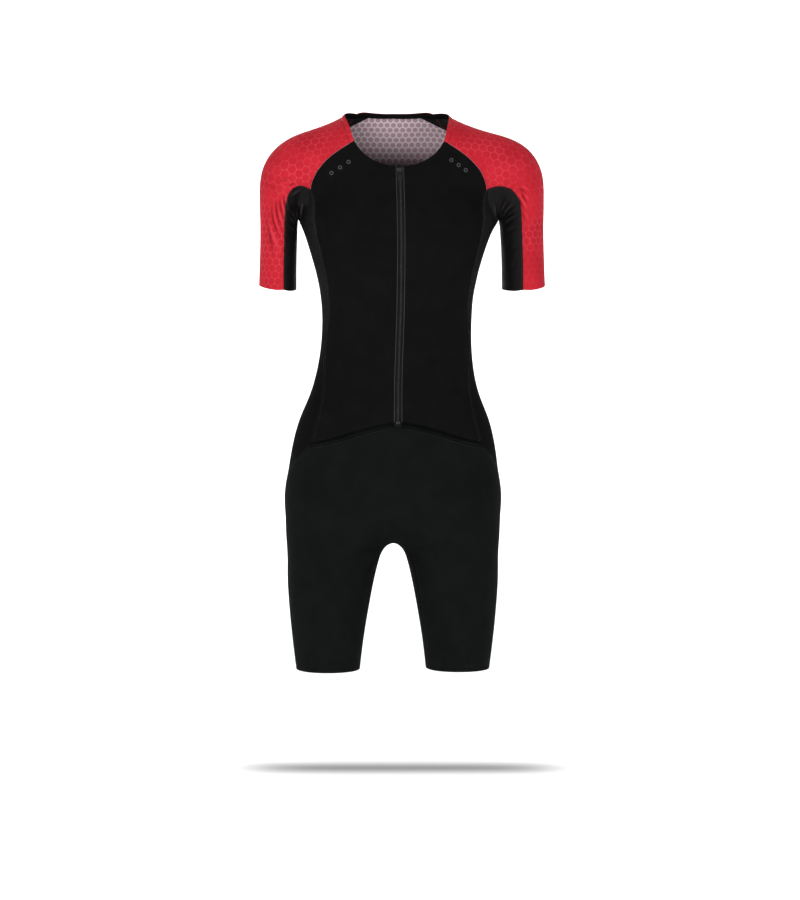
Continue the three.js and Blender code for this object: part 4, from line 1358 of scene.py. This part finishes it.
coil = placed_at("zip_coil", [bead(COIL_LOOP)], coil_places())
finished(coil, "suit", TEETH, "zip_tape")
print("zip coil faces", len(coil.data.polygons))

# %% [markdown]
# The slider, the stop and the pull are plain shapes. Each is drawn as an outline in
# millimetres, extruded and rounded, because a sharp edge on such a small thing catches no
# light at all. The slider's bridge is the same kind of plate, stood on its edge.

# %% Slider and bottom stop
def plate(outline, thickness, rounding, segments=2):
    """A flat outline, in millimetres, extruded through its thickness and rounded."""
    shape = bmesh.new()
    corners = [shape.verts.new((x * MM, y * MM, 0)) for x, y in outline]
    face = shape.faces.new(corners)
    grown = bmesh.ops.extrude_face_region(shape, geom=[face])["geom"]
    moved = [part for part in grown if isinstance(part, bmesh.types.BMVert)]
    bmesh.ops.translate(shape, verts=moved, vec=(0, 0, thickness * MM))
    bmesh.ops.recalc_face_normals(shape, faces=shape.faces)
    bmesh.ops.bevel(
        shape, geom=shape.edges[:], offset=rounding * MM, segments=segments,
        affect="EDGES", profile=0.5, material=-1)
    return shape


def upright(shape, middle):
    """Stands a plate on its edge across the zip, so that its outline is seen from the side."""
    stand = Matrix(((0, 0, 1, -middle), (1, 0, 0, 0), (0, 1, 0, 0), (0, 0, 0, 1)))
    bmesh.ops.transform(shape, matrix=stand, verts=shape.verts)
    return shape


SLIDER_BODY = [
    (-2.4, -5.5), (2.4, -5.5), (2.7, -1.6), (4.6, 1.2), (4.6, 3.6), (3.2, 5.4),
    (-3.2, 5.4), (-4.6, 3.6), (-4.6, 1.2), (-2.7, -1.6)]
BRIDGE = [
    (-3.8, 1.6), (-3.8, 3.4), (-2.4, 4.9), (2.4, 4.9), (3.8, 3.4), (3.8, 1.6),
    (2.7, 1.6), (2.7, 3.0), (1.9, 3.9), (-1.9, 3.9), (-2.7, 3.0), (-2.7, 1.6)]
STOP_BODY = [(-3, -2), (3, -2), (3, 2), (-3, 2)]
SLIDER_THICKNESS = 1.9
SLIDER_SINK = 0.3
SLIDER_EDGE = 0.35
BRIDGE_WIDTH = 2.6
BRIDGE_EDGE = 0.22
STOP_THICKNESS = 1.5
STOP_EDGE = 0.45
STOP_LIFT = 0.2
SOFT_EDGE = 3

slider_place = on_zip(SLIDER_HEIGHT)
base = plate(SLIDER_BODY, SLIDER_THICKNESS, SLIDER_EDGE)
bmesh.ops.translate(base, verts=base.verts, vec=(0, 0, -SLIDER_SINK * MM))
bridge = upright(plate(BRIDGE, BRIDGE_WIDTH, BRIDGE_EDGE), BRIDGE_WIDTH / 2 * MM)
slider = placed_at("zip_slider_body", [base, bridge], [slider_place])
finished(slider, "suit", METAL, "zip_metal", "zip_slider")

stop_place = on_zip(STOP_HEIGHT) @ Matrix.Translation((0, 0, STOP_LIFT * MM))
stop_plate = plate(STOP_BODY, STOP_THICKNESS, STOP_EDGE, SOFT_EDGE)
stop = placed_at("zip_stop", [stop_plate], [stop_place])
finished(stop, "suit", METAL, "zip_metal", "zip_bottom_stop")
print("slider faces", len(slider.data.polygons), "stop faces", len(stop.data.polygons))

# %% [markdown]
# The pull hangs from the bridge by a bent wire, and both swing about the same joint. They
# are drawn flat about the hinge, then leant a little, as they lie on the cloth below.

# %% Pull and its wire
HINGE = Vector(frame["joints"][0]["pos_m"])
PULL_LEAN = 0.09
WIRE = 0.6
WIRE_ROUNDNESS = 3
WIRE_BEND = 0.14
LOOP_HALF = 3.2
LOOP_LENGTH = 6.8
TAB = [
    (-3.7, -5.9), (3.7, -5.9), (3.7, -16.4), (2.6, -18.4), (-2.6, -18.4), (-3.7, -16.4)]
TAB_THICKNESS = 1.9
TAB_EDGE = 0.5


def wire_loop():
    """The bent wire that joins the pull to the bridge, as a closed ring of round rod."""
    corners = [(-LOOP_HALF, 0), (LOOP_HALF, 0), (LOOP_HALF, -LOOP_LENGTH),
               (-LOOP_HALF, -LOOP_LENGTH)]
    rounded = []
    for at, (x, y) in enumerate(corners):
        before, after = corners[at - 1], corners[(at + 1) % len(corners)]
        bend = [(before, WIRE_BEND), (before, WIRE_BEND / 2), (before, 0),
                (after, WIRE_BEND / 2), (after, WIRE_BEND)]
        for (end_x, end_y), share in bend:
            rounded.append((
                (x + (end_x - x) * share) * MM, (y + (end_y - y) * share) * MM, 0))
    mesh = round_rod("wire", rounded, WIRE * MM, WIRE_ROUNDNESS, closed=True)
    ring = bmesh.new()
    ring.from_mesh(mesh)
    bpy.data.meshes.remove(mesh)
    return ring


pull_place = slider_place.copy()
pull_place.translation = HINGE
pull_place = pull_place @ Matrix.Rotation(PULL_LEAN, 4, "X")
tab = plate(TAB, TAB_THICKNESS, TAB_EDGE, SOFT_EDGE)
bmesh.ops.translate(tab, verts=tab.verts, vec=(0, 0, -TAB_THICKNESS / 2 * MM))
loop = placed_at("zip_pull_wire", [wire_loop()], [pull_place])
finished(loop, "zip_pull", METAL, "zip_metal")
pull = placed_at("zip_pull", [tab], [pull_place])
finished(pull, "zip_pull", PLASTIC, "pull_plastic", "zip_pull_tab")
print("pull hangs from", [round(x, 4) for x in HINGE])

# %% [markdown]
# A plain studio: a pale floor that curves up into a pale wall. The wall stands far back,
# so that the suit can also be seen from behind.

# %% Floor and wall
FLOOR_HEIGHT = -1.006
STUDIO = 8.0
CURVE_UP = [(3.5, 0), (4.6, 0.12), (5.4, 0.5), (5.9, 1.2), (6.0, 2.2)]


def backdrop():
    """Floor and wall in one sheet with a rounded corner behind the suit."""
    shape = bmesh.new()
    outline = [(-STUDIO, 0), *CURVE_UP, (CURVE_UP[-1][0], STUDIO)]
    ends = [shape.verts.new((-STUDIO, y, z + FLOOR_HEIGHT)) for y, z in outline]
    edges = [shape.edges.new(pair) for pair in zip(ends, ends[1:])]
    grown = bmesh.ops.extrude_edge_only(shape, edges=edges)["geom"]
    moved = [part for part in grown if isinstance(part, bmesh.types.BMVert)]
    bmesh.ops.translate(shape, verts=moved, vec=(2 * STUDIO, 0, 0))
    bmesh.ops.recalc_face_normals(shape, faces=shape.faces)
    return as_object("floor", shape)


floor = backdrop()
print("floor and wall cells", len(floor.data.polygons))

# %% [markdown]
# The picture has one soft streak of shadow on the floor. A hollow suit lets light through
# its legs and would throw a broken shadow, so the streak is part of the floor's own
# colour: a long blunt oval that fades to its edge.

# %% Floor finish
SHADOW_MIDDLE = 0.006
SHADOW_HALF_LENGTH = 0.285
SHADOW_HALF_DEPTH = 0.085
SHADOW_NEARER = 0.04
SHADOW_TURN = 0.06


def pale_floor():
    """A white floor with a soft dark streak under the suit, as in the picture."""
    finish = Finish("pale floor", roughness=0.9, specular=0.1)
    place = finish.solid_place()
    x, y = finish.parts(place)[:2]
    x = x - SHADOW_MIDDLE
    nearer = y + SHADOW_NEARER + x * SHADOW_TURN
    lengthways = x / SHADOW_HALF_LENGTH
    depthways = nearer / SHADOW_HALF_DEPTH
    squared = lengthways * lengthways
    out = (squared * squared * squared + depthways * depthways).root()
    inside = 1 - out.ramp(0.0, 1.0)
    cloudy = finish.noise(place, scale=1.5, detail=2)
    white = finish.blend(tone("fbfbfb"), tone("ffffff"), cloudy)
    finish.colour(finish.blend(white, tone("939393"), inside))
    return finish.material


floor.data.materials.append(pale_floor())
floor.data.shade_smooth()
print("shadow", 2 * SHADOW_HALF_LENGTH, "m long and", 2 * SHADOW_HALF_DEPTH, "m deep")

# %% [markdown]
# Black cloth shows its shape only by what it reflects, so the sky is bright and even and
# the two lamps on the suit are wide and weak. Two more lamps light only the floor and the
# wall and throw no shadow, which lets the backdrop be nearly white without washing out
# the suit. Light linking is what keeps their light off the suit.

# %% Lamps and sky
SKY_STRENGTH = 0.55

Lamp = namedtuple("Lamp", "name place aim size power floor_only")
LAMPS = [
    Lamp("lamp_key", (-1.1, -2.5, 0.3), (0, 0, -0.2), 1.4, 25, False),
    Lamp("lamp_fill", (1.4, -2.6, 0.0), (0, 0, -0.25), 1.8, 10, False),
    Lamp("lamp_floor", (0, 0, 1.9), (0, 0, -1), 1.5, 40, True),
    Lamp("lamp_wall", (0, 3.6, 2.6), (0, 6, 0.1), 4.0, 190, True),
]
floor_group = bpy.data.collections.new("floor only")
floor_group.objects.link(floor)
for lamp in LAMPS:
    light = bpy.data.lights.new(lamp.name, "AREA")
    light.shape = "DISK"
    light.size = lamp.size
    light.energy = lamp.power
    hung = bpy.data.objects.new(lamp.name, light)
    hung.location = lamp.place
    aim = Vector(lamp.aim) - Vector(lamp.place)
    hung.rotation_euler = aim.to_track_quat("-Z", "Y").to_euler()
    bpy.context.scene.collection.objects.link(hung)
    if lamp.floor_only:
        hung.light_linking.receiver_collection = floor_group
    light.use_shadow = not lamp.floor_only

sky = bpy.data.worlds.new("sky")
sky.use_nodes = True
background = sky.node_tree.nodes["Background"]
background.inputs["Color"].default_value = (1, 1, 1, 1)
background.inputs["Strength"].default_value = SKY_STRENGTH
bpy.context.scene.world = sky
bpy.context.scene.view_settings.view_transform = "Standard"
print("lamps", len(LAMPS))
